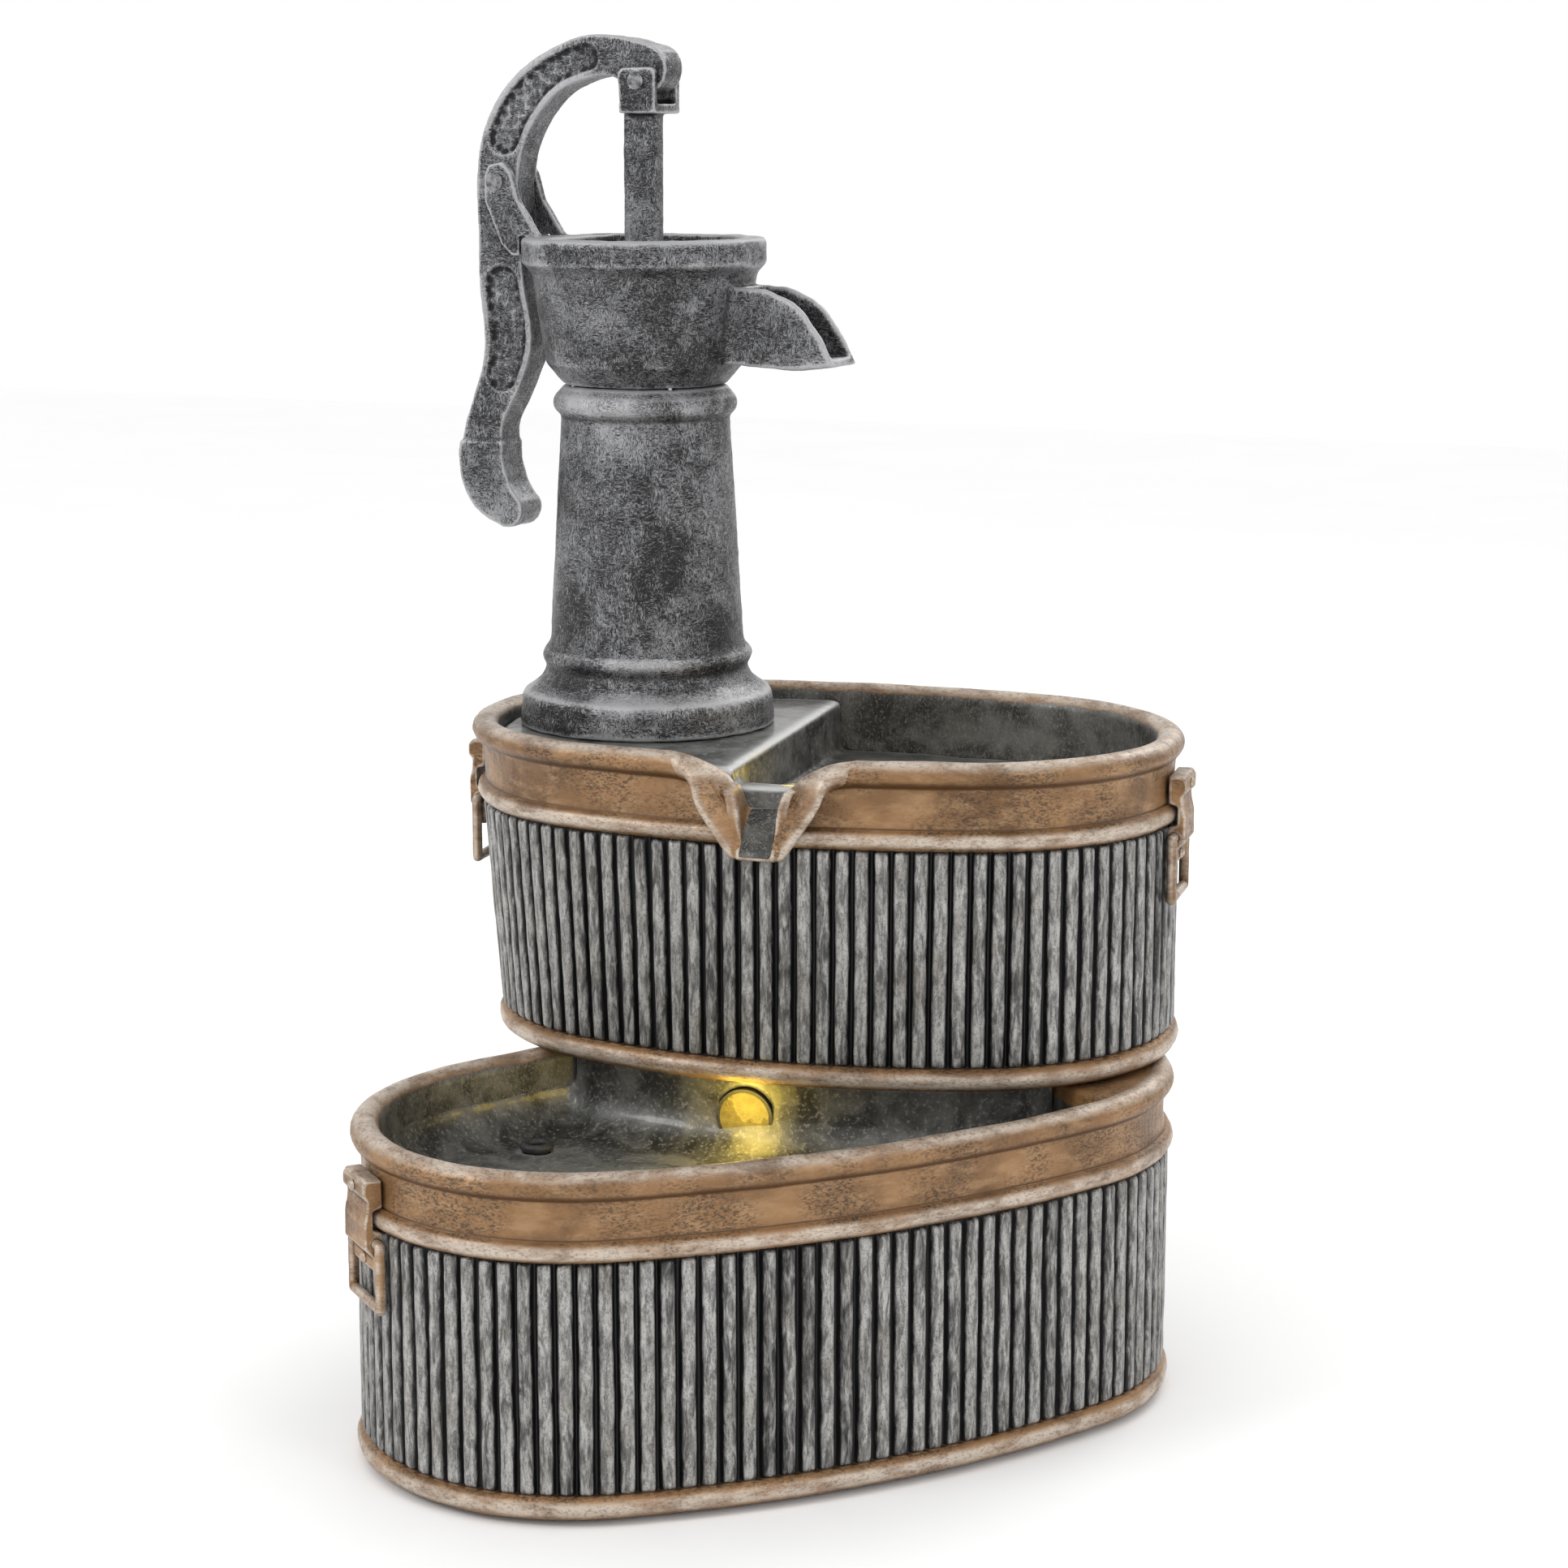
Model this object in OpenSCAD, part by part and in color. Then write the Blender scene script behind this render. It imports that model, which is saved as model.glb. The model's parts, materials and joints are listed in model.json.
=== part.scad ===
// Garden fountain: a hand well pump standing on two fanned oval tubs.
// Millimetres. The origin is the centre of the lower tub's underside, +Z is up.
// The handle and the spout lie in a plane parallel to XZ, with the spout towards +X.

/* [Lower tub] */
// Length of the lower tub over its beads
lower_length = 496; // [480:1:510]
// Width of the lower tub over its beads
lower_width = 286; // [280:1:292]
// Height of the lower rim above the ground
lower_height = 196; // [190:1:204]
// Turn of the lower tub's long axis from the spout's direction
lower_angle = 50; // [48:1:52]

/* [Upper tub] */
// Length of the upper tub over its rim bead
upper_length = 434; // [428:1:442]
// Width of the upper tub over its rim bead
upper_width = 278; // [274:1:284]
// Height of the upper tub, from its underside to its rim
upper_height = 190; // [186:1:196]
// Turn of the upper tub's long axis from the spout's direction
upper_angle = 8; // [6:1:10]
// How much shorter the upper tub's underside is than its rim
upper_taper = 16; // [8:1:20]

/* [Tub walls] */
// Thickness of the tub walls behind the beads
tub_wall = 12; // [11:0.5:13]
// How far the beads stand out from the walls
bead_out = 5; // [4:0.5:6]
// Thickness of the tub floors
tub_floor = 10; // [8:1:12]
// Distance from a rim down to the middle of the second bead
band_drop = 43; // [40:1:46]

/* [Pump column] */
// Radius of the skirt at the foot of the column
skirt_r = 78; // [76:0.5:79]
// Radius of the column just above the lower bead
column_low_r = 59; // [57:0.5:60]
// Radius of the column just under the upper bead
column_top_r = 51; // [50:0.5:52]
// Wall of the column
column_wall = 6; // [5:0.5:7]
// Height of the column from the platform to the bowl's neck
column_height = 206; // [204:1:208]

/* [Pump bowl] */
// Outer radius of the bowl's flange
flange_r = 73.5; // [73:0.5:74]
// Height of the bowl from its neck to the top of the flange
bowl_height = 87; // [86:1:88]
// Wall of the bowl
bowl_wall = 5; // [4:0.5:6]
// Outer width of the spout
spout_width = 36; // [34:1:38]
// Reach of the spout's lip from the pump's axis
spout_reach = 131; // [126:1:134]

/* [Handle] */
// Thickness of the handle
handle_thick = 24; // [22:1:24]
// Thickness of each ear of the bearer
ear_thick = 6; // [5:0.5:7]
// Thickness of each cheek of the rod's fork
cheek_thick = 5; // [4:0.5:6]
// Radius of the pin that the handle turns on
handle_pin_r = 4; // [3.5:0.25:4.5]
// Radius of the pin between the handle and the rod
fork_pin_r = 3.5; // [3:0.25:4]
// Depth of the hammered panels in the handle's sides
panel_deep = 2; // [1:0.25:3]

/* [Drop rings] */
// Width of a drop ring over its sides
ring_width = 50; // [46:1:52]
// Height of a drop ring from its pivot bar to its lower bar
ring_drop = 36; // [32:1:38]
// Radius of the ring's bar
ring_bar_r = 3; // [2.5:0.25:3.5]
// Width of the strap that holds a ring
strap_width = 34; // [30:1:36]

/* [Water parts] */
// Outer radius of the riser hose
hose_r = 7; // [6:0.5:8]
// Bore radius of the riser hose
hose_bore = 5; // [4:0.5:5.5]
// Radius of a lamp's housing
lamp_r = 17; // [15:1:18]

/* [Hidden] */
$fn = 64;

// Colours
RESIN = [0.33, 0.33, 0.34];
IRON = [0.26, 0.26, 0.27];
BRONZE = [0.66, 0.45, 0.27];
STEEL = [0.7, 0.7, 0.72];
RUBBER = [0.06, 0.06, 0.06];

FIT = 0.05;          // running clearance of a pin, on the radius
GAP = 0.5;           // clearance between loose parts
PAD_H = 2.5;         // the lower tub stands this high on its pads

// Places in plan
PUMP = [-140, 125];                        // the pump's axis
UPPER = PUMP + [116, 3];                   // the upper tub's centre
UPPER_Z = lower_height;                    // the upper tub rests on the lower rim
RIM_Z = UPPER_Z + upper_height;
DECK_Z = RIM_Z - 10;                       // top of the platform under the pump
NECK_Z = DECK_Z + column_height;
FLANGE_Z = NECK_Z + bowl_height;           // top of the flange

// A tub's plan is an oval of four arcs: [half length, half width, radius of the ends]
LOWER_PLAN = [lower_length / 2, lower_width / 2, 128];
UPPER_PLAN = [upper_length / 2, upper_width / 2, 128];
ARC_STEPS = 14;      // facets of one end or one side of an oval

// Handle mechanism, from the pump's axis and the top of the flange
PIVOT = [-90, 32];                         // the handle's pin: x and height
CROSS = [4, 91];                           // the fork's pin: x and height
// Middle line of the handle: x, height and half width, from the fork to the grip
HANDLE_LINE = [
    [6, 98, 15], [-12, 105, 12], [-32, 105, 12.5], [-56, 96, 12.5], [-75, 80, 14],
    [-88, 58, 14.5], [-93, 32, 14], [-92, 3, 14.5], [-91, -29, 15.5], [-87, -61, 16.5],
    [-92, -84, 14.5], [-102, -107, 12.5], [-106, -125, 14], [-106, -141, 14.5],
    [-100, -156, 14], [-89, -166, 10]
];

// Submersible motor and its hose
MOTOR = PUMP + [165, -25];                   // the motor's outlet in plan
MOTOR_Z = PAD_H + tub_floor;               // the floor that the motor stands on
OUTLET_Z = MOTOR_Z + 66;                   // top of the motor's outlet
HOSE_SWING = -24;                          // the hose rises beside the rod: y from the pump's axis
HOSE_TOP = NECK_Z + 26;

// ---------------------------------------------------------------- plan shapes

function side_offset(s) = (pow(s[0] - s[2], 2) - pow(s[1] - s[2], 2)) / (2 * (s[1] - s[2]));

function arc(c, r, from, to) = [
    for (i = [0 : ARC_STEPS - 1])
        let (t = from + (to - from) * i / ARC_STEPS) c + r * [cos(t), sin(t)]
];

// The oval s, moved out by d all round
function oval(s, d) =
    let (k = side_offset(s), e = atan2(k, s[0] - s[2]), side_r = s[1] + k + d)
    concat(
        arc([s[0] - s[2], 0], s[2] + d, -e, e),
        arc([0, -k], side_r, e, 180 - e),
        arc([s[2] - s[0], 0], s[2] + d, 180 - e, 180 + e),
        arc([0, k], side_r, 180 + e, 360 - e)
    );

// A half-round bead as [height, stand-out] stations
function bead(z, h) = [for (t = [0 : 36 : 180]) [z - h / 2 * cos(t), -bead_out * (1 - sin(t))]];

// The upper tub is shorter and a little wider at its foot
function upper_ring(z, d) =
    let (low = 1 - z / upper_height)
    [for (p = oval(UPPER_PLAN + [-upper_taper / 2, 3, 0] * low, d))
        [p.x + upper_taper / 2 * low, p.y, UPPER_Z + z]];

function lower_ring(z, d) = [for (p = oval(LOWER_PLAN, d)) [p.x, p.y, z]];

// Solid through a stack of rings with equal point counts
module loft(rings) {
    n = len(rings[0]);
    last = (len(rings) - 1) * n;
    polyhedron(
        points = [for (r = rings) each r],
        faces = concat(
            [[for (i = [0 : n - 1]) i]],
            [[for (i = [n - 1 : -1 : 0]) last + i]],
            [for (k = [0 : len(rings) - 2], i = [0 : n - 1])
                [k * n + i, (k + 1) * n + i, (k + 1) * n + (i + 1) % n]],
            [for (k = [0 : len(rings) - 2], i = [0 : n - 1])
                [k * n + i, (k + 1) * n + (i + 1) % n, k * n + (i + 1) % n]]
        )
    );
}

module at_lower() { rotate(lower_angle) children(); }
module at_upper() { translate(UPPER) rotate(upper_angle) children(); }
module at_pump(z = 0) { translate([PUMP.x, PUMP.y, z]) children(); }

// Lays a flat XY shape upright in the XZ plane, thick about y = 0
module upright(thick) { rotate([90, 0, 0]) linear_extrude(thick, center = true) children(); }

// Cylinder along Y
module pin_y(r, length) { rotate([90, 0, 0]) cylinder(r = r, h = length, center = true); }

// Pan-headed screw: the head's underside is at z = 0 and the shank hangs down
module screw(r, length) {
    translate([0, 0, -length]) cylinder(r = r, h = length + 1, $fn = 24);
    difference() {
        cylinder(r = 2 * r, h = 1.2 * r, $fn = 32);
        translate([0, 0, 0.6 * r]) cube([2.6 * r, 0.5 * r, 1.3 * r], center = true);
    }
}

// ---------------------------------------------------------------- lower tub

TRAY_Z = 140;                               // ledge that the basin tray lies on
TRAY_THICK = 10;
SHELF_X = 150;                              // where the shelf at the spout's end begins
SHELF_THICK = 10;
SHELF_WALL = 8;
PAD_SPOTS = concat([[0, 0]], [for (x = [-170, 0, 170], y = [-90, 90]) [x, y * (x == 0 ? 1 : 0.7)]]);
GLAND = [100, 60];                          // place along the rear of the lower tub, and height
// Screw places on the lower rim under the upper tub: distance along the tub, and in from its side
RIM_SCREWS = [[-40, 131], [50, 130], [160, 108]];

module lower_tub() color(BRONZE) difference() {
    at_lower() loft([
        for (p = concat(
            [[PAD_H, -bead_out]],
            bead(10, 13),
            bead(lower_height - band_drop, 12),
            bead(lower_height - 8, 14),
            [[lower_height, -bead_out - 2]]
        )) lower_ring(p[0], p[1])
    ]);
    // the basin ends at a shelf that carries the upper tub; the space below runs on under it
    at_lower() difference() {
        loft([
            lower_ring(PAD_H + tub_floor, -bead_out - tub_wall - 8),
            lower_ring(TRAY_Z, -bead_out - tub_wall - 8),
            lower_ring(TRAY_Z, -bead_out - tub_wall),
            lower_ring(lower_height + 1, -bead_out - tub_wall)
        ]);
        translate([SHELF_X, -200, lower_height - SHELF_THICK]) cube([200, 400, 50]);
        translate([SHELF_X, -200, TRAY_Z - 5]) cube([SHELF_WALL, 400, 100]);
    }
    gland_axis() translate([0, 0, -40]) cylinder(r = 8 + FIT, h = 80, $fn = 48);
    rim_screw_spots() translate([0, 0, -18]) cylinder(r = 2.2, h = 30, $fn = 24);
}

module gland_axis() {
    at_lower() translate([GLAND.x, LOWER_PLAN[1] - 11.2, GLAND.y]) rotate([-90, 0, 0]) children();
}

module rim_screw_spots() {
    at_lower() for (s = RIM_SCREWS) translate([s[0], s[1], lower_height]) children();
}

// Upright prism with the upper tub's plan, d outside it
module under_upper(d, z0, z1) {
    at_upper() translate([upper_taper / 2, 0, z0]) linear_extrude(z1 - z0)
        polygon(oval(UPPER_PLAN + [-upper_taper / 2, 3, 0], d));
}

module tray_plan(d, z0, z1) {
    at_lower() translate([0, 0, z0]) linear_extrude(z1 - z0) polygon(oval(LOWER_PLAN, d));
}

DRAIN = PUMP + [8, -166];                  // the plug in the basin's floor
TRAY_D = -bead_out - tub_wall - GAP;

module basin_tray() color(RESIN) difference() {
    intersection() {
        union() {
            tray_plan(TRAY_D, TRAY_Z, TRAY_Z + TRAY_THICK);
            difference() {
                under_upper(-22, TRAY_Z, lower_height - 2);
                under_upper(-31, TRAY_Z - 1, lower_height);
            }
        }
        tray_plan(TRAY_D, TRAY_Z, lower_height);
    }
    under_upper(-31, TRAY_Z - 1, lower_height);
    // the tray ends at the shelf
    at_lower() translate([SHELF_X - GAP, -200, TRAY_Z - 1]) cube([200, 400, 80]);
    translate([DRAIN.x, DRAIN.y, TRAY_Z - 1]) cylinder(r = 7, h = TRAY_THICK + 2);
    basin_lamp_spot() translate([0, 0, -20]) cylinder(r = lamp_r + 0.1, h = 60);
}

module drain_plug() color(RUBBER) translate([DRAIN.x, DRAIN.y, TRAY_Z]) {
    translate([0, 0, TRAY_THICK]) rotate_extrude() translate([7.5, 2.5]) circle(r = 2.5, $fn = 24);
    translate([0, 0, -3]) cylinder(r = 6.95, h = TRAY_THICK + 4.2);
}

module foot_pads() color(RUBBER) at_lower() for (p = PAD_SPOTS)
    translate([p[0], p[1], 0]) cylinder(r = 16, h = PAD_H);

// ---------------------------------------------------------------- upper tub

DECK_BASE = RIM_Z - 51;                     // ledge that the deck lies on
DECK_THICK = 9;
PLATFORM_X = -21;                           // the platform's straight edge, along the upper tub
WEIR_Z = RIM_Z - 20;                        // crest that the pool spills over
SPILL_Z = RIM_Z - 54;                       // lowest point of the pouring lip
NOTCH_TOP = 36;                             // half widths of the pouring notch
NOTCH_LOW = 9;
CHUTE_Y = -UPPER_PLAN[1] - 9;               // front edge of the chute, along the upper tub's width
HOSE_HOLE = 10;

// One side of the notch: x, and height from the rim
NOTCH_SIDE = [
    [NOTCH_TOP, 12], [NOTCH_TOP - 4, -3], [NOTCH_LOW + 10, -11], [NOTCH_LOW + 4, -25],
    [NOTCH_LOW, SPILL_Z - RIM_Z + 24]
];
// The notch with the sloped bed of its chute
module notch() {
    y0 = -UPPER_PLAN[1] - 30;
    y1 = -UPPER_PLAN[1] + 45;
    translate([0, y1, RIM_Z]) rotate([90, 0, 0]) linear_extrude(y1 - y0) polygon(concat(
        NOTCH_SIDE, [for (i = [4 : -1 : 0]) [-NOTCH_SIDE[i][0], NOTCH_SIDE[i][1]]]
    ));
    translate([-NOTCH_LOW, 0, SPILL_Z]) rotate([90, 0, 90]) linear_extrude(2 * NOTCH_LOW)
        polygon([[y0, 0], [CHUTE_Y, 0], [CHUTE_Y + 26, 24], [y1, 24], [y1, 30], [y0, 30]]);
}

module upper_tub() color(BRONZE) difference() {
    at_upper() union() {
        difference() {
            loft([
                for (p = concat(
                    bead(6.5, 13),
                    bead(upper_height - band_drop - 2, 12),
                    bead(upper_height - 8, 14),
                    [[upper_height, -bead_out - 2]]
                )) upper_ring(p[0], p[1])
            ]);
            loft([
                upper_ring(tub_floor, -bead_out - tub_wall - 8),
                upper_ring(DECK_BASE - UPPER_Z, -bead_out - tub_wall - 8),
                upper_ring(DECK_BASE - UPPER_Z, -bead_out - tub_wall),
                upper_ring(upper_height + 1, -bead_out - tub_wall)
            ]);
        }
        pouring_lip();
    }
    at_upper() notch();
    translate([MOTOR.x, MOTOR.y, UPPER_Z - 1]) cylinder(r = HOSE_HOLE, h = tub_floor + 2);
    rim_screw_spots() translate([0, 0, -1]) cylinder(r = 2.6, h = tub_floor + 2, $fn = 24);
}

// The rim rolls down both sides of the notch and ends in a lip under the chute
LIP_SIDE = [
    [NOTCH_TOP + 6, -5], [NOTCH_LOW + 21, -14], [NOTCH_LOW + 14, -28], [NOTCH_LOW + 9, SPILL_Z - RIM_Z - 5]
];
module pouring_lip() translate([0, CHUTE_Y + 24, RIM_Z]) rotate([90, 0, 0]) linear_extrude(24)
    polygon(concat(LIP_SIDE, [for (i = [3 : -1 : 0]) [-LIP_SIDE[i][0], LIP_SIDE[i][1]]]));

module pool_deck() color(RESIN) difference() {
    at_upper() deck_prism(-bead_out - tub_wall - GAP, DECK_BASE, DECK_Z);
    // the pool, with the weir left standing in front of the chute
    at_upper() translate([PLATFORM_X, 0, DECK_BASE + DECK_THICK]) linear_extrude(100)
        polygon([[0, WEIR_Y], [NOTCH_TOP - PLATFORM_X, WEIR_Y], [NOTCH_TOP - PLATFORM_X, -FAR],
                 [FAR, -FAR], [FAR, FAR], [0, FAR]]);
    at_upper() translate([PLATFORM_X, WEIR_Y - FAR, WEIR_Z]) cube([FAR, FAR + 1, 100]);
    // hollow under the platform
    at_upper() intersection() {
        deck_prism(-bead_out - tub_wall - 10, DECK_BASE - 1, DECK_Z - DECK_THICK);
        translate([PLATFORM_X - DECK_THICK - FAR, -FAR, DECK_BASE - 2]) cube([FAR, 2 * FAR, 100]);
    }
    at_pump(DECK_Z - 20) translate([0, HOSE_SWING, 0]) cylinder(r = HOSE_HOLE, h = 30);
    column_screw_spots() translate([0, 0, -20]) cylinder(r = 2.6, h = 30, $fn = 24);
}

WEIR_Y = 34 - UPPER_PLAN[1];                // the weir's pool side
FAR = 300;                                 // reaches past the tub's walls
module deck_prism(d, z0, z1) {
    loft([upper_ring(z0 - UPPER_Z, d), upper_ring(z1 - UPPER_Z, d)]);
}

module tub_screws() color(STEEL) rim_screw_spots()
    translate([0, 0, tub_floor]) screw(2.1, tub_floor + 12);

// ---------------------------------------------------------------- drop rings

BAR_IN = 1.2;        // the ring's pivot bar lies this far inside the beads
BAR_DROP = 13;       // and this far under the second bead

// Puts children on a tub's end: +X out of the tub, z = 0 at the ring's bar
module upper_end(turn) at_upper() rotate(turn)
    translate([UPPER_PLAN[0] - BAR_IN - (turn == 0 ? 0 : 1.2), 0,
               RIM_Z - band_drop - 2 - BAR_DROP]) children();
module lower_end(turn) at_lower() rotate(turn)
    translate([LOWER_PLAN[0] - BAR_IN, 0, lower_height - band_drop - BAR_DROP]) children();
module each_ring_place() {
    upper_end(0) children();
    upper_end(180) children();
    lower_end(0) children();
    lower_end(180) children();
}

// Strap over the bead, with a lug on the band and the bar's bore under it
WALL_X = BAR_IN - bead_out + 0.1;
module ring_strap() difference() {
    upright(strap_width) polygon([
        [WALL_X, 36], [5, 36], [7, 33], [7, 27], [4.5, 24], [5, 18], [6.5, 12], [6.5, -3],
        [1.5, -8], [1.5, -16], [WALL_X, -16], [WALL_X, 6], [BAR_IN + 0.4, 7.5],
        [BAR_IN + 0.4, 18.5], [WALL_X, 20]
    ]);
    pin_y(ring_bar_r + FIT, strap_width + 2);
    for (z = RIVET_Z) translate([0, 0, z]) rotate([0, 90, 0])
        cylinder(r = 2, h = 40, center = true, $fn = 24);
}

RIVET_Z = [30, -12];
module ring_straps() color(BRONZE) each_ring_place() ring_strap();

module strap_rivets() color(STEEL) each_ring_place() {
    translate([-2, 0, RIVET_Z[0]]) rotate([0, 90, 0]) rivet(9);
    translate([-3, 0, RIVET_Z[1]]) rotate([0, 90, 0]) rivet(4.5);
}
module rivet(length) {
    cylinder(r = 1.95, h = length, $fn = 24);
    translate([0, 0, length]) intersection() {
        translate([0, 0, -1.4]) sphere(r = 3.8, $fn = 32);
        cylinder(r = 5, h = 5, $fn = 24);
    }
}

// Rectangular ring of round bar, hanging from its top bar
module drop_ring() {
    side = ring_width / 2 - ring_bar_r;
    pin_y(ring_bar_r, 2 * side);
    translate([0, 0, -ring_drop]) pin_y(ring_bar_r, 2 * side);
    for (y = [-side, side]) {
        translate([0, y, -ring_drop]) cylinder(r = ring_bar_r, h = ring_drop);
        for (z = [0, -ring_drop]) translate([0, y, z]) sphere(r = ring_bar_r);
    }
}
module drop_ring_upper_right() color(BRONZE) upper_end(0) drop_ring();
module drop_ring_upper_left() color(BRONZE) upper_end(180) drop_ring();
module drop_ring_lower_rear() color(BRONZE) lower_end(0) drop_ring();
module drop_ring_lower_front() color(BRONZE) lower_end(180) drop_ring();

// ---------------------------------------------------------------- column and bowl

BEAD_LOW = 43;       // heights above the platform
NECK_R = 49;
THROAT_R = 40;
COLUMN_SCREW_R = 66;
BOWL_SCREW_R = 44.7;

module column_screw_spots() at_pump(DECK_Z) for (a = [45 : 90 : 315])
    rotate(a) translate([COLUMN_SCREW_R, 0, 0]) children();
module bowl_screw_spots() at_pump(NECK_Z) for (a = [45 : 90 : 315])
    rotate(a) translate([BOWL_SCREW_R, 0, 0]) children();

module pump_column() color(IRON) difference() {
    at_pump(DECK_Z) rotate_extrude() polygon([
        [54, 0], [skirt_r, 0], [skirt_r - 0.6, 9], [skirt_r - 1.6, 11], [skirt_r - 1, 13],
        [skirt_r - 1.6, 18], [skirt_r - 3, 21], [70, 24], [65, 28], [62, 33],
        [61, 37], [63.2, 39], [64.3, BEAD_LOW], [63, 46], [60, 49], [column_low_r, 52],
        [column_top_r, 185], [column_top_r - 0.6, 187.5], [54, 190], [55.4, 193], [55.6, 196],
        [54.4, 199.5], [51.5, 202.5], [NECK_R, column_height], [THROAT_R, column_height], [THROAT_R, column_height - 14],
        [column_top_r - column_wall, 184], [column_low_r - column_wall, 52], [54, 14]
    ]);
    column_screw_spots() translate([0, 0, -1]) cylinder(r = 2.2, h = 15, $fn = 24);
    bowl_screw_spots() translate([0, 0, -12]) cylinder(r = 1.8, h = 13, $fn = 24);
}

module column_screws() color(STEEL) column_screw_spots()
    translate([0, 0, -DECK_THICK]) rotate([180, 0, 0]) screw(2.1, DECK_THICK + 11);

BOWL_FLOOR = 19;      // inside floor of the bowl, above the neck
FLANGE_H = 18;
MOUTH_R = 59;
SPOUT_FLOOR = 16;     // underside of the spout above the neck
SPOUT_TOP = bowl_height - 27;
WEB_X = -41;          // the flange is closed on the handle's side of this line

module pump_bowl() color(IRON) difference() {
    at_pump(NECK_Z) union() {
        difference() {
            rotate_extrude() polygon([
                [0, 0], [NECK_R, 0], [59.5, 13], [67.5, bowl_height - FLANGE_H - 3],
                [flange_r - 3, bowl_height - FLANGE_H], [flange_r, bowl_height - FLANGE_H + 3],
                [flange_r, bowl_height - 2], [flange_r - 2, bowl_height], [0, bowl_height]
            ]);
            bowl_hollow();
        }
        spout();
    }
    at_pump(NECK_Z) {
        translate([0, 0, -1]) cylinder(r = THROAT_R, h = BOWL_FLOOR + 2);
        spout_channel();
    }
    bowl_screw_spots() translate([0, 0, -1]) cylinder(r = 2.1, h = BOWL_FLOOR + 2, $fn = 24);
    // pocket for the bearer's foot, and its screw holes
    at_pump(FLANGE_Z) translate([BEARER_X0 - 0.1, -20.1, -BEARER_FOOT]) cube([26.2, 40.2, 10]);
    bearer_screw_spots() translate([0, 0, -14]) cylinder(r = 1.8, h = 20, $fn = 24);
    plate_screw_spots() translate([0, 0, -10]) cylinder(r = 1.4, h = 12, $fn = 24);
}

// The hollow has a ledge for the bowl plate, and its mouth is closed towards the handle
PLATE_Z = bowl_height - 12;
module bowl_hollow() {
    rotate_extrude() polygon([
        [0, BOWL_FLOOR], [59.5 - bowl_wall, BOWL_FLOOR], [MOUTH_R - 3, bowl_height - FLANGE_H - 4],
        [MOUTH_R - 5, PLATE_Z - 4], [0, PLATE_Z - 4]
    ]);
    intersection() {
        translate([0, 0, PLATE_Z - 5]) cylinder(r = MOUTH_R - 5, h = 40);
        translate([WEB_X, -100, 0]) cube([200, 200, 200]);
    }
    intersection() {
        translate([0, 0, PLATE_Z]) cylinder(r = MOUTH_R, h = 40);
        translate([WEB_X, -100, 0]) cube([200, 200, 200]);
    }
}

// Side view of the spout: x from the pump's axis and height from the neck
module spout() upright(spout_width) polygon([
    [48, SPOUT_FLOOR - 1], [104, SPOUT_FLOOR - 5], [spout_reach, SPOUT_FLOOR - 2],
    [123, SPOUT_FLOOR + 14], [112, SPOUT_FLOOR + 29], [104, SPOUT_TOP - 8],
    [86, SPOUT_TOP - 1], [56, SPOUT_TOP]
]);
module spout_channel() upright(spout_width - 2 * bowl_wall) polygon([
    [45, BOWL_FLOOR], [104, SPOUT_FLOOR + 1], [spout_reach + 5, SPOUT_FLOOR + 4],
    [spout_reach + 5, 100], [72, 100], [72, SPOUT_TOP - 6], [45, SPOUT_TOP - 6]
]);

module bowl_screws() color(STEEL) bowl_screw_spots()
    translate([0, 0, BOWL_FLOOR]) screw(1.7, BOWL_FLOOR + 10);

// Plate inside the bowl's mouth, with the slot that the rod dips through
SLOT_X = [-16, 36];
PLATE_SCREW_R = 56.3;
module plate_screw_spots() at_pump(NECK_Z + PLATE_Z) for (a = [65, -65])
    rotate(a) translate([PLATE_SCREW_R, 0, 0]) children();
module bowl_plate() color(IRON) difference() {
    at_pump(NECK_Z + PLATE_Z) {
        difference() {
            intersection() {
                cylinder(r = MOUTH_R - 0.3, h = 4);
                translate([WEB_X + 0.3, -100, -1]) cube([200, 200, 20]);
            }
            translate([SLOT_X[0], -14, -1]) cube([SLOT_X[1] - SLOT_X[0], 28, 10]);
        }
    }
    plate_screw_spots() translate([0, 0, -1]) cylinder(r = 1.5, h = 10, $fn = 24);
}
module plate_screws() color(STEEL) plate_screw_spots() translate([0, 0, 4]) screw(1.2, 11);

// ---------------------------------------------------------------- bearer, handle and rod

BEARER_X0 = -70;
BEARER_FOOT = 5;

module bearer_screw_spots() at_pump(FLANGE_Z) for (y = [-12, 12]) translate([-52, y, 0]) children();

// Forked bracket: two ears on a foot let into the flange
module handle_bearer() color(IRON) at_pump(FLANGE_Z) difference() {
    union() {
        translate([BEARER_X0, -20, -BEARER_FOOT]) cube([26, 40, BEARER_FOOT]);
        for (s = [-1, 1]) translate([0, s * (handle_thick / 2 + 1 + ear_thick / 2), 0])
            upright(ear_thick) polygon([
                [-98, 20], [-98, 36], [-95, 42], [-85, 44], [-80, 38], [-75, 21], [-62, 1],
                [-61, -BEARER_FOOT], [BEARER_X0, -BEARER_FOOT], [BEARER_X0, 0.3], [-74.4, 0.3],
                [-74.4, -12], [-80, -12], [-87, -5], [-95, 14]
            ]);
    }
    translate([PIVOT.x, 0, PIVOT.y]) pin_y(handle_pin_r + 0.02, 60);
    for (y = [-12, 12]) translate([-52, y, -BEARER_FOOT - 1]) {
        cylinder(r = 2, h = 10, $fn = 24);
        translate([0, 0, 3.6]) cylinder(r1 = 2, r2 = 4.6, h = 2.6, $fn = 32);
    }
}

// Countersunk screws, flush with the bearer's foot
module bearer_screws() color(STEEL) bearer_screw_spots() {
    translate([0, 0, -13]) cylinder(r = 1.7, h = 12, $fn = 24);
    translate([0, 0, -2.3]) cylinder(r1 = 1.9, r2 = 4.2, h = 2.2, $fn = 32);
}

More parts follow.
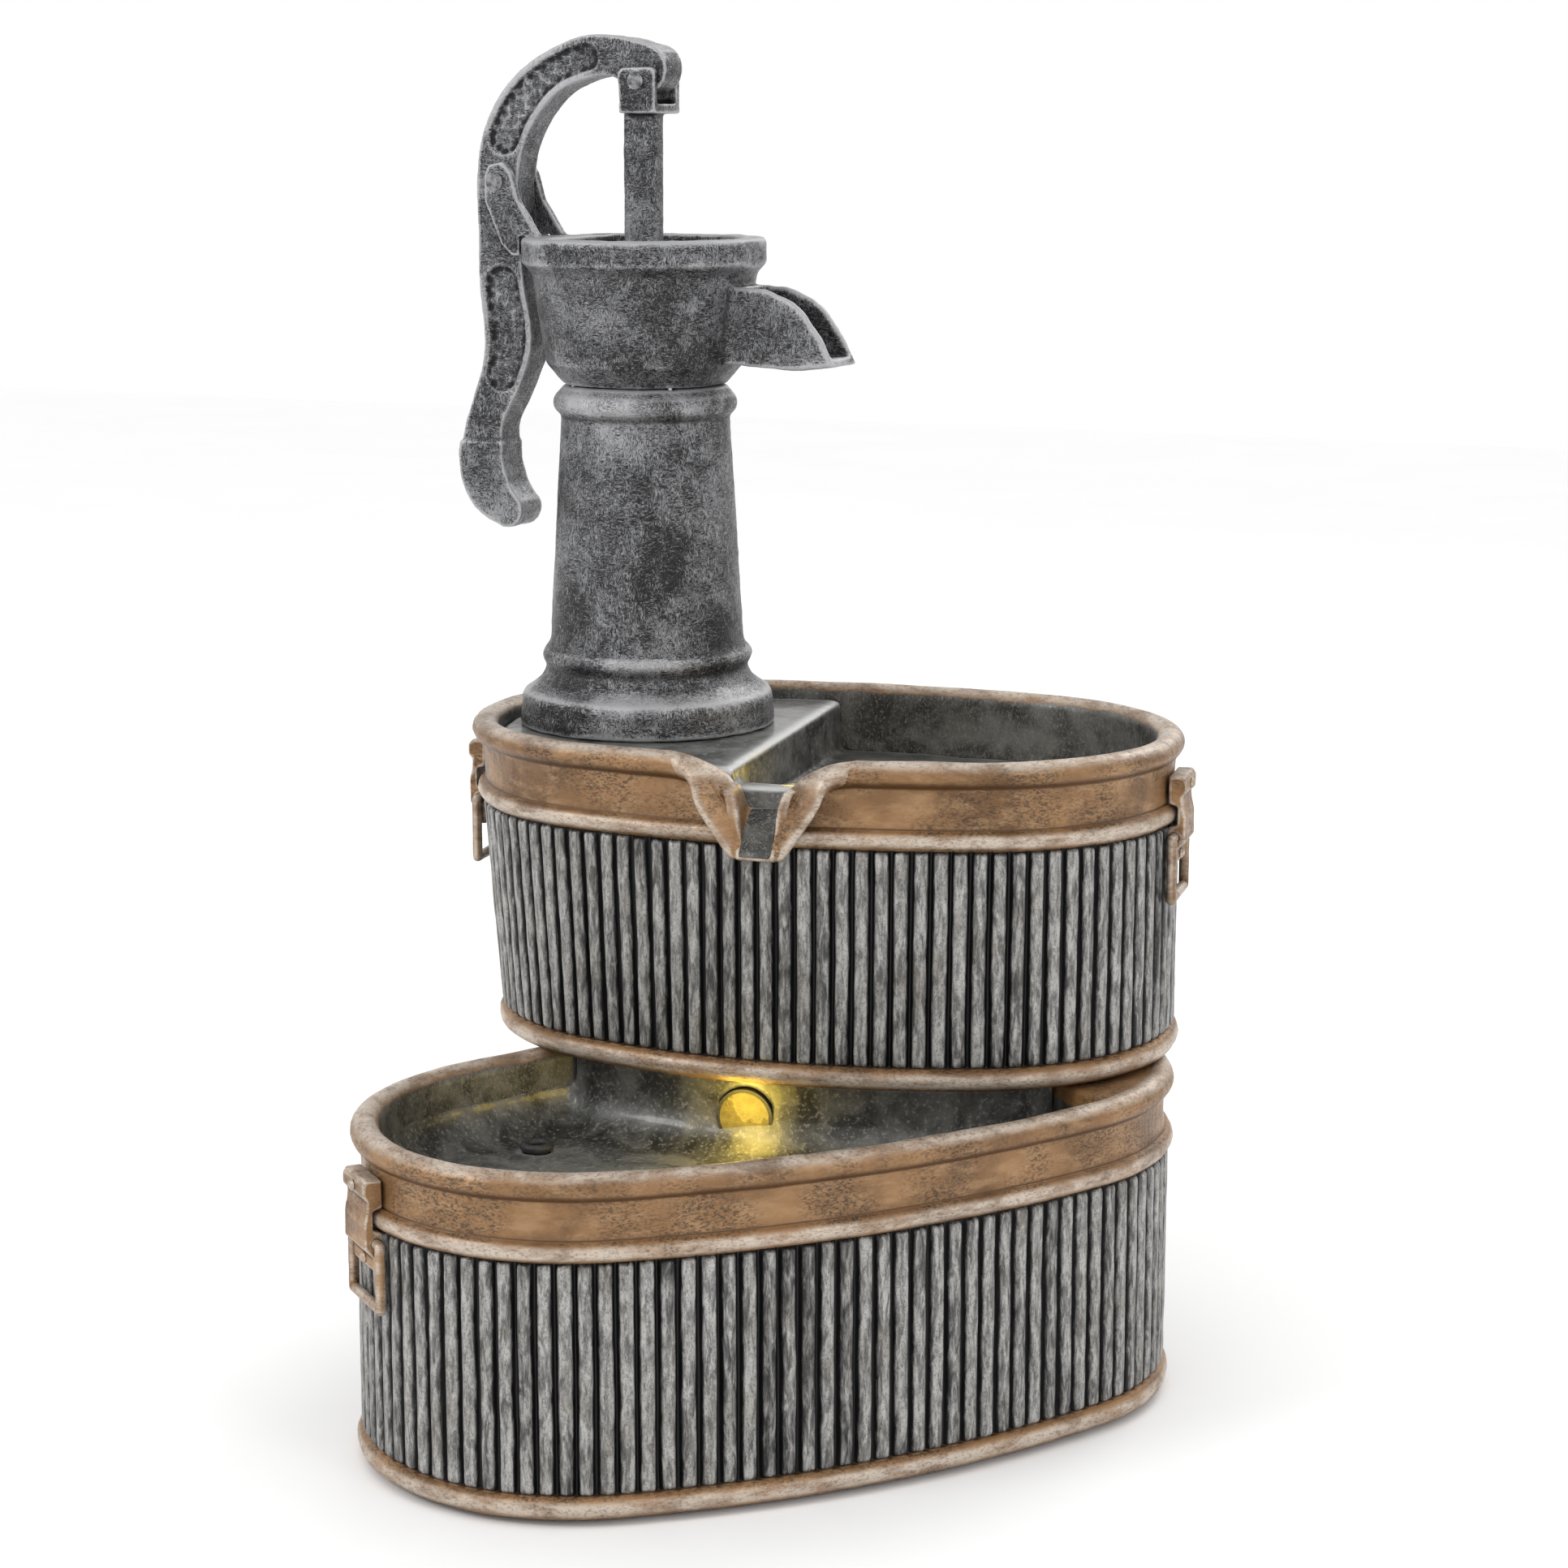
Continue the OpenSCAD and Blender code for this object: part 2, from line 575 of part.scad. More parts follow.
// Smooth line through the handle's stations
function spline(a, b, c, d, t) = 0.5 * (2 * b + (c - a) * t
    + (2 * a - 5 * b + 4 * c - d) * t * t + (3 * b - a - 3 * c + d) * t * t * t);
STEPS = 4;
function smooth_line(p, from, to) = [
    for (i = [from : to - 1], k = [0 : (i == to - 1 ? STEPS : STEPS - 1)])
        spline(p[max(i - 1, 0)], p[i], p[i + 1], p[min(i + 2, len(p) - 1)], k / STEPS)
];
function normal_at(line, i) =
    let (a = line[max(i - 1, 0)], b = line[min(i + 1, len(line) - 1)], v = [b.x - a.x, b.y - a.y])
    [-v.y, v.x] / norm(v);
// Outline of a stretch of the handle, narrowed by inset
function ribbon(line, inset) = let (end = len(line) - 1) concat(
    [for (i = [0 : end]) rim_point(line, i, inset, 0)],
    [for (k = [1 : 7]) rim_point(line, end, inset, 22.5 * k)],
    [for (i = [end : -1 : 0]) rim_point(line, i, inset, 180)],
    [for (k = [1 : 7]) rim_point(line, 0, inset, 180 + 22.5 * k)]
);
// Point round station i: turn 0 is its left side, 90 is ahead and 180 its right side
function rim_point(line, i, inset, turn) =
    let (n = normal_at(line, i), ahead = [n.y, -n.x])
    [line[i].x, line[i].y] + (n * cos(turn) + ahead * sin(turn)) * (line[i].z - inset);

GRIP_FROM = 12;       // station where the grip's ledge is
LAST = len(HANDLE_LINE) - 1;
PANEL_BORDER = 4.5;   // raised border round a hammered panel
// The stretch of the handle between two stations, with half-round ends
module stretch(from, to, inset) polygon(ribbon(smooth_line(HANDLE_LINE, from, to), inset));

module handle() color(IRON) at_pump(FLANGE_Z) difference() {
    union() {
        upright(handle_thick) stretch(0, LAST, 0);
        upright(handle_thick + 3) intersection() {
            stretch(GRIP_FROM - 1, LAST, -1.2);
            translate([-FAR, HANDLE_LINE[GRIP_FROM].y - FAR]) square([2 * FAR, FAR]);
        }
    }
    for (s = [-1, 1]) translate([0, s * handle_thick / 2, 0]) {
        upright(2 * panel_deep) stretch(2, 5, PANEL_BORDER);
        upright(2 * panel_deep) stretch(8, 10, PANEL_BORDER);
    }
    translate([PIVOT.x, 0, PIVOT.y]) pin_y(handle_pin_r + FIT, 60);
    translate([CROSS.x, 0, CROSS.y]) pin_y(fork_pin_r + FIT, 60);
}

module headed_pin(r, grip) {
    pin_y(r, grip + 1);
    for (s = [-1, 1]) translate([0, s * (grip / 2 + 0.9), 0]) pin_y(r + 1.5, 1.4);
}
module handle_pin() color(STEEL) at_pump(FLANGE_Z) translate([PIVOT.x, 0, PIVOT.y])
    headed_pin(handle_pin_r, handle_thick + 2 + 2 * ear_thick);

ROD = [22, 18];        // rod section: x and y
ROD_EDGE = 6;          // rounding of its edges
ROD_LOW = -34;         // its lower end, from the top of the flange
YOKE_Z = 72;
FORK_OUT = handle_thick + 1 + 2 * cheek_thick;
module pump_rod() color(IRON) at_pump(FLANGE_Z) difference() {
    union() {
        translate([0, 0, ROD_LOW]) linear_extrude(YOKE_Z - ROD_LOW + 2)
            offset(r = ROD_EDGE) square([ROD.x - 2 * ROD_EDGE, ROD.y - 2 * ROD_EDGE], center = true);
        translate([CROSS.x - 12, -FORK_OUT / 2, YOKE_Z]) cube([24, FORK_OUT, 6]);
        for (s = [-1, 1]) translate([0, s * (FORK_OUT - cheek_thick) / 2, 0]) upright(cheek_thick)
            polygon([[CROSS.x - 11, YOKE_Z], [CROSS.x + 12, YOKE_Z], [CROSS.x + 12, 97],
                     [CROSS.x + 10, 99], [CROSS.x - 10, 99], [CROSS.x - 13, 96]]);
    }
    translate([CROSS.x, 0, CROSS.y]) pin_y(fork_pin_r + 0.02, 60);
}
module fork_pin() color(STEEL) at_pump(FLANGE_Z) translate([CROSS.x, 0, CROSS.y])
    headed_pin(fork_pin_r, FORK_OUT);

// ---------------------------------------------------------------- submersible motor and hose

BODY = [62, 44, 48];   // the motor's body
ROTOR_Z = 24;          // height of the rotor's axis above the floor
module at_motor() translate([MOTOR.x, MOTOR.y, MOTOR_Z]) children();

module motor_housing() color(RUBBER) at_motor() difference() {
    union() {
        translate([-BODY.x + 14, -BODY.y / 2, 4]) cube(BODY);
        cylinder(r = 8, h = 58);
        translate([0, 0, 56]) cylinder(r = hose_bore - 0.1, h = 10);
    }
    translate([-32, 0, ROTOR_Z + 4]) rotate([0, 90, 0]) cylinder(r = 10, h = 60);
    translate([-4, 0, ROTOR_Z + 4]) rotate([0, 90, 0]) cylinder(r = 16, h = 40);
    translate([0, 0, ROTOR_Z + 4]) cylinder(r = 3.6, h = 60);
}
module motor_cover() color(RUBBER) at_motor() difference() {
    union() {
        difference() {
            translate([14, -BODY.y / 2, 4]) cube([14, BODY.y, BODY.z]);
            translate([13, 0, ROTOR_Z + 4]) rotate([0, 90, 0]) cylinder(r = 16, h = 11);
        }
        translate([16, 0, ROTOR_Z + 4]) rotate([0, 90, 0]) cylinder(r = 4.5, h = 9);
    }
    translate([12, 0, ROTOR_Z + 4]) rotate([0, 90, 0]) cylinder(r = 1.5 + FIT, h = 11);
    for (y = [-13, -8, 8, 13]) translate([20, y - 1.2, 16]) cube([10, 2.4, 24]);
    translate([25, 0, ROTOR_Z + 4]) rotate([0, 90, 0]) cylinder(r = KNOB_R + FIT, h = 10);
}
KNOB_R = 3;
module rotor() color("dimgray") at_motor() difference() {
    union() {
        translate([-30, 0, ROTOR_Z + 4]) rotate([0, 90, 0]) cylinder(r = 8.5, h = 28);
        translate([-2, 0, ROTOR_Z + 4]) rotate([0, 90, 0]) {
            cylinder(r = 13, h = 2);
            for (a = [0 : 60 : 300]) rotate(a) translate([6.5, 0, 6]) cube([11, 1.6, 10], center = true);
            cylinder(r = 4, h = 12);
        }
    }
    translate([-31, 0, ROTOR_Z + 4]) rotate([0, 90, 0]) cylinder(r = 1.5 + FIT, h = 50);
}
module rotor_shaft() color("white") at_motor()
    translate([-32, 0, ROTOR_Z + 4]) rotate([0, 90, 0]) cylinder(r = 1.5, h = 54.8);
module flow_knob() color("silver") at_motor() translate([25.3, 0, ROTOR_Z + 4]) rotate([0, 90, 0]) {
    cylinder(r = KNOB_R, h = 4);
    translate([0, 0, 3.2]) cylinder(r = 8, h = 3);
    translate([-1.5, -8, 5]) cube([3, 16, 3]);
}
module suction_feet() color(RUBBER) at_motor() for (x = [-38, 8], y = [-14, 14])
    translate([x, y, 0]) rotate_extrude($fn = 32)
        polygon([[0, 0.6], [8, 0], [8, 0.8], [3, 2], [3, 4], [0, 4]]);

// The hose climbs from the motor, crosses to the column and rises to the bowl
HOSE_ROUTE = [
    [MOTOR.x, MOTOR.y, OUTLET_Z - 8],
    [MOTOR.x, MOTOR.y, UPPER_Z + 72],
    [PUMP.x, PUMP.y + HOSE_SWING, UPPER_Z + 125],
    [PUMP.x, PUMP.y + HOSE_SWING, HOSE_TOP]
];
HOSE_BEND = 55;
function unit(v) = v / norm(v);
// Points of a quadratic bend round the corner b
function bend(a, b, c) = [
    for (t = [0 : 0.125 : 1]) let (p = b + unit(a - b) * HOSE_BEND, q = b + unit(c - b) * HOSE_BEND)
        p * (1 - t) * (1 - t) + b * 2 * t * (1 - t) + q * t * t
];
HOSE_LINE = concat(
    [HOSE_ROUTE[0]],
    bend(HOSE_ROUTE[0], HOSE_ROUTE[1], HOSE_ROUTE[2]),
    bend(HOSE_ROUTE[1], HOSE_ROUTE[2], HOSE_ROUTE[3]),
    [HOSE_ROUTE[3]]
);
TUBE_SIDES = 12;
// Rings of points round a line; the line stays near one upright plane
function tube_ring(line, i, r) =
    let (v = unit(line[min(i + 1, len(line) - 1)] - line[max(i - 1, 0)]),
         side = unit(cross(HOSE_ROUTE[2] - HOSE_ROUTE[1], [0, 0, 1])),
         up = cross(side, v))
    [for (k = [0 : TUBE_SIDES - 1]) line[i] + r * (side * cos(360 * k / TUBE_SIDES) + up * sin(360 * k / TUBE_SIDES))];

module tube(line, outer, bore) {
    n = TUBE_SIDES;
    m = len(line);
    points = [for (r = [outer, bore], i = [0 : m - 1]) each tube_ring(line, i, r)];
    function at(wall, i, k) = (wall * m + i) * n + k % n;
    polyhedron(points = points, faces = concat(
        [for (i = [0 : m - 2], k = [0 : n - 1]) [at(0, i, k), at(0, i + 1, k), at(0, i + 1, k + 1)]],
        [for (i = [0 : m - 2], k = [0 : n - 1]) [at(0, i, k), at(0, i + 1, k + 1), at(0, i, k + 1)]],
        [for (i = [0 : m - 2], k = [0 : n - 1]) [at(1, i, k), at(1, i + 1, k + 1), at(1, i + 1, k)]],
        [for (i = [0 : m - 2], k = [0 : n - 1]) [at(1, i, k), at(1, i, k + 1), at(1, i + 1, k + 1)]],
        [for (k = [0 : n - 1]) [at(0, 0, k), at(0, 0, k + 1), at(1, 0, k + 1)]],
        [for (k = [0 : n - 1]) [at(0, 0, k), at(1, 0, k + 1), at(1, 0, k)]],
        [for (k = [0 : n - 1]) [at(0, m - 1, k), at(1, m - 1, k + 1), at(0, m - 1, k + 1)]],
        [for (k = [0 : n - 1]) [at(0, m - 1, k), at(1, m - 1, k), at(1, m - 1, k + 1)]]
    ));
}

module riser_hose() color("gray") tube(HOSE_LINE, hose_r, hose_bore);

// Spring clips round the hose's two ends
module hose_clips() color(STEEL) {
    for (p = [[MOTOR.x, MOTOR.y, OUTLET_Z - 6], [PUMP.x, PUMP.y + HOSE_SWING, HOSE_TOP - 12]])
        translate(p) difference() {
            union() {
                cylinder(r = hose_r + 1.6, h = 6);
                translate([hose_r, -3, 0]) cube([7, 6, 6]);
            }
            translate([0, 0, -1]) cylinder(r = hose_r + 0.1, h = 8);
            translate([hose_r - 1, -0.8, -1]) cube([10, 1.6, 8]);
        }
}

// Elbow that turns the water from the hose towards the spout
module outlet_elbow() color(RUBBER) at_pump(HOSE_TOP) translate([0, HOSE_SWING, 0]) difference() {
    union() {
        translate([0, 0, -12]) cylinder(r = hose_bore - 0.2, h = 14);
        translate([0, 0, 0.3]) cylinder(r = hose_r + 1, h = 14);
        translate([0, 0, 8]) rotate([0, 90, 0]) cylinder(r = 6, h = 26);
    }
    translate([0, 0, -13]) cylinder(r = 3.4, h = 23);
    translate([0, 0, 8]) rotate([0, 90, 0]) cylinder(r = 4, h = 27);
}

// ---------------------------------------------------------------- lamps and gland

LAMP_H = 12;
POOL_LAMP = [8, -66];                       // on the deck, along and across the upper tub
BASIN_LAMP = [-14, TRAY_Z + 30];            // in the tray's rear wall: along it, and height
BASIN_WALL_Y = -UPPER_PLAN[1] + 19;         // front face of the tray's rear wall
// The pool's lamp shines up; the basin's looks out of the wall towards the front
module lamp_spots() {
    at_upper() translate([POOL_LAMP.x, POOL_LAMP.y, DECK_BASE + DECK_THICK]) children();
    basin_lamp_spot() children();
}
module basin_lamp_spot() at_upper() translate([BASIN_LAMP.x, BASIN_WALL_Y + LAMP_H - 1, BASIN_LAMP.y])
    rotate([90, 0, 0]) children();
module lamp_housings() color(RUBBER) lamp_spots() difference() {
    cylinder(r = lamp_r, h = LAMP_H);
    translate([0, 0, 3]) cylinder(r = lamp_r - 2, h = LAMP_H);
}
module lamp_boards() color("white") lamp_spots() translate([0, 0, 3]) {
    cylinder(r = lamp_r - 2.3, h = 1.6);
    for (a = [0 : 60 : 300]) rotate(a) translate([8, 0, 1.5]) cube([3.5, 3.5, 2.4], center = true);
}
module lamp_lenses() color("khaki") lamp_spots() translate([0, 0, LAMP_H - 4])
    cylinder(r = lamp_r - 2.1, h = 4);

module cable_gland() color(RUBBER) gland_axis() difference() {
    union() {
        translate([0, 0, -32]) cylinder(r = 8, h = 40);
        cylinder(r = 12, h = 5, $fn = 6);
        translate([0, 0, 5]) cylinder(r1 = 9.5, r2 = 7, h = 8);
    }
    translate([0, 0, -33]) cylinder(r = 3, h = 60, $fn = 32);
}
module gland_nut() color(RUBBER) gland_axis() translate([0, 0, -31]) difference() {
    cylinder(r = 12, h = 6, $fn = 6);
    translate([0, 0, -1]) cylinder(r = 8.05, h = 8, $fn = 48);
}

// ---------------------------------------------------------------- nodes

lower_tub();
basin_tray();
drain_plug();
foot_pads();
upper_tub();
pool_deck();
tub_screws();
ring_straps();
strap_rivets();
drop_ring_upper_right();
drop_ring_upper_left();
drop_ring_lower_front();
drop_ring_lower_rear();
pump_column();
column_screws();
pump_bowl();
bowl_screws();
bowl_plate();
plate_screws();
handle_bearer();
bearer_screws();
handle();
handle_pin();
pump_rod();
fork_pin();
motor_housing();
motor_cover();
rotor();
rotor_shaft();
flow_knob();
suction_feet();
riser_hose();
hose_clips();
outlet_elbow();
lamp_housings();
lamp_boards();
lamp_lenses();
cable_gland();
gland_nut();
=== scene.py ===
import json
import math

import bmesh
import bpy
import numpy as np
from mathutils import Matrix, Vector


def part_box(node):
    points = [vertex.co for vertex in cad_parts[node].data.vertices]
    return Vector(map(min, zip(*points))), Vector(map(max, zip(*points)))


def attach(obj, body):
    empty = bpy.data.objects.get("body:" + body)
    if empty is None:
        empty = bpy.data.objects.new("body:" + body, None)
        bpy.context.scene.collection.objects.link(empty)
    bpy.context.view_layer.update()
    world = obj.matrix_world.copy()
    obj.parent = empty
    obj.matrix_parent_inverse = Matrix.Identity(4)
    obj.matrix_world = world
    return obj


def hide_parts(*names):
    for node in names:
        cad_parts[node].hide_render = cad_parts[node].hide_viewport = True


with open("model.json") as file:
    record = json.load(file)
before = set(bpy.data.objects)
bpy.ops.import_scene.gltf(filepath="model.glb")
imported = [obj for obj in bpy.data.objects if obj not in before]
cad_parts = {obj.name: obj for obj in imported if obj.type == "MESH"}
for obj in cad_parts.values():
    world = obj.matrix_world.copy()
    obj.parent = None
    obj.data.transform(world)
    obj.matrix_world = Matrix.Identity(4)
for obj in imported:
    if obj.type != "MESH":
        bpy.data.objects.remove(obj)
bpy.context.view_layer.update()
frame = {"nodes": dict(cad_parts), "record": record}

# Lengths are millimetres, unless a name ends in _M or _m. Meshes are scaled as they are made.
MM = 0.001
BODY_OF = {n: b for b, ns in frame["record"]["behaviour"]["bodies"].items() for n in ns}
SLOT_OF = {s["node"]: s["material_slot"] for s in frame["record"]["subparts"]}


def box_mm(node):
    low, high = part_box(node)
    return np.array(low) / MM, np.array(high) / MM


# ---------------------------------------------------------------- places, from the frame

PUMP = (box_mm("pump_column")[0] + box_mm("pump_column")[1])[:2] / 2
UPPER = PUMP + np.array([116, 3])               # centre of the upper tub
UPPER_Z = box_mm("upper_tub")[0][2]
RIM_Z = box_mm("upper_tub")[1][2]
LOWER_RIM_Z = box_mm("lower_tub")[1][2]
TRAY_THICK = 10
TRAY_TOP = box_mm("basin_tray")[0][2] + TRAY_THICK
SPILL_Z = RIM_Z - 54                            # front edge of the chute
PAD_H = box_mm("lower_tub")[0][2]

UPPER_ANGLE = 8                                 # turn of a tub's long axis, degrees
LOWER_ANGLE = 50
UPPER_PLAN = (217, 139, 128)                    # half length, half width, radius of the ends
LOWER_PLAN = (248, 143, 128)
TAPER = 16                                      # the upper tub's foot is this much shorter
WALL_D = -17                                    # inner face of a tub wall, from its beads
CHUTE_Y = -148                                  # front end of the chute ...
CHUTE_BACK_Y = -121                             # ... and its back end, just inside the wall

# ---------------------------------------------------------------- the camera

CAMERA_AT_M = (0.7733, -1.7212, 0.7411)
CAMERA_TURN = 24                                # degrees round the object, from the front
CAMERA_DOWN = 11.126                            # degrees below level
LENS = 78.26                                    # mm on a 36 mm sensor


def make_camera():
    data = bpy.data.cameras.new("camera")
    data.lens = LENS
    data.sensor_width = 36
    camera = bpy.data.objects.new("camera", data)
    camera.location = CAMERA_AT_M
    camera.rotation_euler = (math.radians(90 - CAMERA_DOWN), 0, math.radians(CAMERA_TURN))
    bpy.context.scene.collection.objects.link(camera)
    bpy.context.scene.camera = camera


make_camera()

# ---------------------------------------------------------------- noise and shape helpers


# Multipliers of the integer hash behind the noise
HASH_X, HASH_Y, HASH_Z = np.uint32(374761393), np.uint32(668265263), np.uint32(3266489917)
HASH_MIX = np.uint32(1274126177)
HASH_SEED = 2654435


def lattice(ix, iy, iz, seed):
    """A fixed number from -1 to 1 for each whole-number place and seed."""
    h = ix.astype(np.uint32) * HASH_X + iy.astype(np.uint32) * HASH_Y
    h = h + iz.astype(np.uint32) * HASH_Z + np.uint32(seed * HASH_SEED % 2**31)
    h = (h ^ (h >> np.uint32(13))) * HASH_MIX
    h = h ^ (h >> np.uint32(16))
    return h.astype(float) / 2**31 - 1


def noise3(points, size, seed):
    """Smooth noise from -1 to 1 at each point, with features about size across (1 or 3 sizes)."""
    q = np.asarray(points, float) / np.asarray(size, float)
    cell = np.floor(q).astype(np.int64)
    f = q - cell
    f = f * f * (3 - 2 * f)
    total = 0
    for dx in (0, 1):
        for dy in (0, 1):
            for dz in (0, 1):
                w = (f[:, 0] if dx else 1 - f[:, 0]) * (f[:, 1] if dy else 1 - f[:, 1])
                w = w * (f[:, 2] if dz else 1 - f[:, 2])
                total = total + w * lattice(cell[:, 0] + dx, cell[:, 1] + dy, cell[:, 2] + dz, seed)
    return total


def fractal(points, size, seed, octaves=3):
    """Noise with finer noise on it."""
    total = 0
    for k in range(octaves):
        total = total + noise3(points, np.asarray(size, float) / 2**k, seed + k) / 2**k
    return total


def smoothstep(a, b, x):
    t = np.clip((x - a) / (b - a), 0, 1)
    return t * t * (3 - 2 * t)


def turned(points, angle, centre):
    """Points turned about Z by angle degrees, then moved to centre."""
    a = math.radians(angle)
    out = np.array(points, float)
    x, y = out[..., 0].copy(), out[..., 1].copy()
    out[..., 0] = x * math.cos(a) - y * math.sin(a) + centre[0]
    out[..., 1] = x * math.sin(a) + y * math.cos(a) + centre[1]
    return out


def new_mesh(name, points, faces):
    mesh = bpy.data.meshes.new(name)
    mesh.from_pydata((np.asarray(points) * MM).tolist(), [], faces)
    mesh.update()
    obj = bpy.data.objects.new(name, mesh)
    bpy.context.scene.collection.objects.link(obj)
    return obj


def ring_faces(rows, count, caps=True):
    """Quads between closed rings of count points, with a flat cap at each end."""
    i = np.arange(count)
    j = (i + 1) % count
    faces = []
    for k in range(rows - 1):
        a, b = k * count, (k + 1) * count
        faces += np.stack([a + i, a + j, b + j, b + i], 1).tolist()
    if caps:
        faces.append(list(range(count - 1, -1, -1)))
        faces.append(list(range((rows - 1) * count, rows * count)))
    return faces


def ring_solid(name, rings):
    """Solid through a stack of rings, each an array of points."""
    rings = np.asarray(rings)
    return new_mesh(name, rings.reshape(-1, 3), ring_faces(len(rings), rings.shape[1]))


def set_values(obj, name, values):
    layer = obj.data.attributes.new(name, "FLOAT", "POINT")
    layer.data.foreach_set("value", np.asarray(values, np.float32))


def values_of(obj, name):
    values = np.empty(len(obj.data.vertices), np.float32)
    obj.data.attributes[name].data.foreach_get("value", values)
    return values


def drop_values(obj, name):
    obj.data.attributes.remove(obj.data.attributes[name])


def points_of(obj):
    co = np.empty(len(obj.data.vertices) * 3)
    obj.data.vertices.foreach_get("co", co)
    return co.reshape(-1, 3) / MM


def normals_of(obj):
    co = np.empty(len(obj.data.vertices) * 3)
    obj.data.vertices.foreach_get("normal", co)
    return co.reshape(-1, 3)


def move_points(obj, points):
    obj.data.vertices.foreach_set("co", (points * MM).ravel())
    obj.data.update()


def smooth_shading(obj):
    obj.data.polygons.foreach_set("use_smooth", [True] * len(obj.data.polygons))


def edge_pairs(obj):
    pairs = np.empty(len(obj.data.edges) * 2, np.int64)
    obj.data.edges.foreach_get("vertices", pairs)
    return pairs.reshape(-1, 2)


def neighbour_mean(values, pairs):
    total = np.zeros_like(values)
    count = np.zeros(len(values))
    np.add.at(total, pairs[:, 0], values[pairs[:, 1]])
    np.add.at(total, pairs[:, 1], values[pairs[:, 0]])
    np.add.at(count, pairs.ravel(), 1)
    return total / np.maximum(count, 1).reshape((-1,) + (1,) * (values.ndim - 1))


WEAR_ROUNDS = 5                                 # how far wear spreads from an edge
WEAR_GAIN = 9


def edge_wear(obj, voxel):
    """From -1 in hollows to 1 on outer edges."""
    pairs = edge_pairs(obj)
    points = points_of(obj)
    bend = ((points - neighbour_mean(points, pairs)) * normals_of(obj)).sum(1) / voxel
    for _ in range(WEAR_ROUNDS):
        bend = 0.5 * bend + 0.5 * neighbour_mean(bend, pairs)
    return np.clip(bend * WEAR_GAIN, -1, 1)


def weld(obj):
    bm = bmesh.new()
    bm.from_mesh(obj.data)
    bmesh.ops.remove_doubles(bm, verts=bm.verts, dist=1e-6)
    bmesh.ops.recalc_face_normals(bm, faces=bm.faces)
    bm.to_mesh(obj.data)
    bm.free()


def apply_modifiers(obj):
    bpy.context.view_layer.update()
    shaped = obj.evaluated_get(bpy.context.evaluated_depsgraph_get())
    mesh = bpy.data.meshes.new_from_object(shaped)
    obj.modifiers.clear()
    obj.data = mesh


def joined(name, parts):
    """One object from several; the parts are used up."""
    bm = bmesh.new()
    for part in parts:
        bm.from_mesh(part.data)
        bpy.data.objects.remove(part)
    mesh = bpy.data.meshes.new(name)
    bm.to_mesh(mesh)
    bm.free()
    obj = bpy.data.objects.new(name, mesh)
    bpy.context.scene.collection.objects.link(obj)
    return obj


PAINTED_TOP_LIGHT = 0.4                               # painted top light, added to the wear where a casting faces up
SKIN_SINK = 0.6                                 # share of the grain by which a skin lies low


def cast(obj, voxel, rounds, grain, grain_size, seed):
    """Makes a hard-edged solid a casting: small even faces, softened edges, a hand-worked skin."""
    weld(obj)
    remesh = obj.modifiers.new("remesh", "REMESH")
    remesh.mode = "VOXEL"
    remesh.voxel_size = voxel * MM
    apply_modifiers(obj)
    pairs = edge_pairs(obj)
    points = points_of(obj)
    for _ in range(rounds):
        points = 0.5 * points + 0.5 * neighbour_mean(points, pairs)
    move_points(obj, points)
    # Faces turned up get a painted top light, added to the edge wear
    upward = smoothstep(0.25, 0.85, normals_of(obj)[:, 2])
    set_values(obj, "wear_and_top_light", edge_wear(obj, voxel) + PAINTED_TOP_LIGHT * upward)
    skin = grain * (fractal(points, grain_size, seed) - SKIN_SINK)
    move_points(obj, points + normals_of(obj) * skin[:, None])
    smooth_shading(obj)


def copy_of(node):
    """A free copy of a CAD node's mesh."""
    mesh = frame["nodes"][node].data.copy()
    mesh.materials.clear()
    obj = bpy.data.objects.new(node + "_cast", mesh)
    bpy.context.scene.collection.objects.link(obj)
    return obj


def finish_piece(obj, material, node):
    """Gives a piece its material and lets it stand for a CAD node on that node's body."""
    obj.data.materials.clear()
    obj.data.materials.append(material)
    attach(obj, BODY_OF[node])
    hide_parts(node)


# ---------------------------------------------------------------- materials


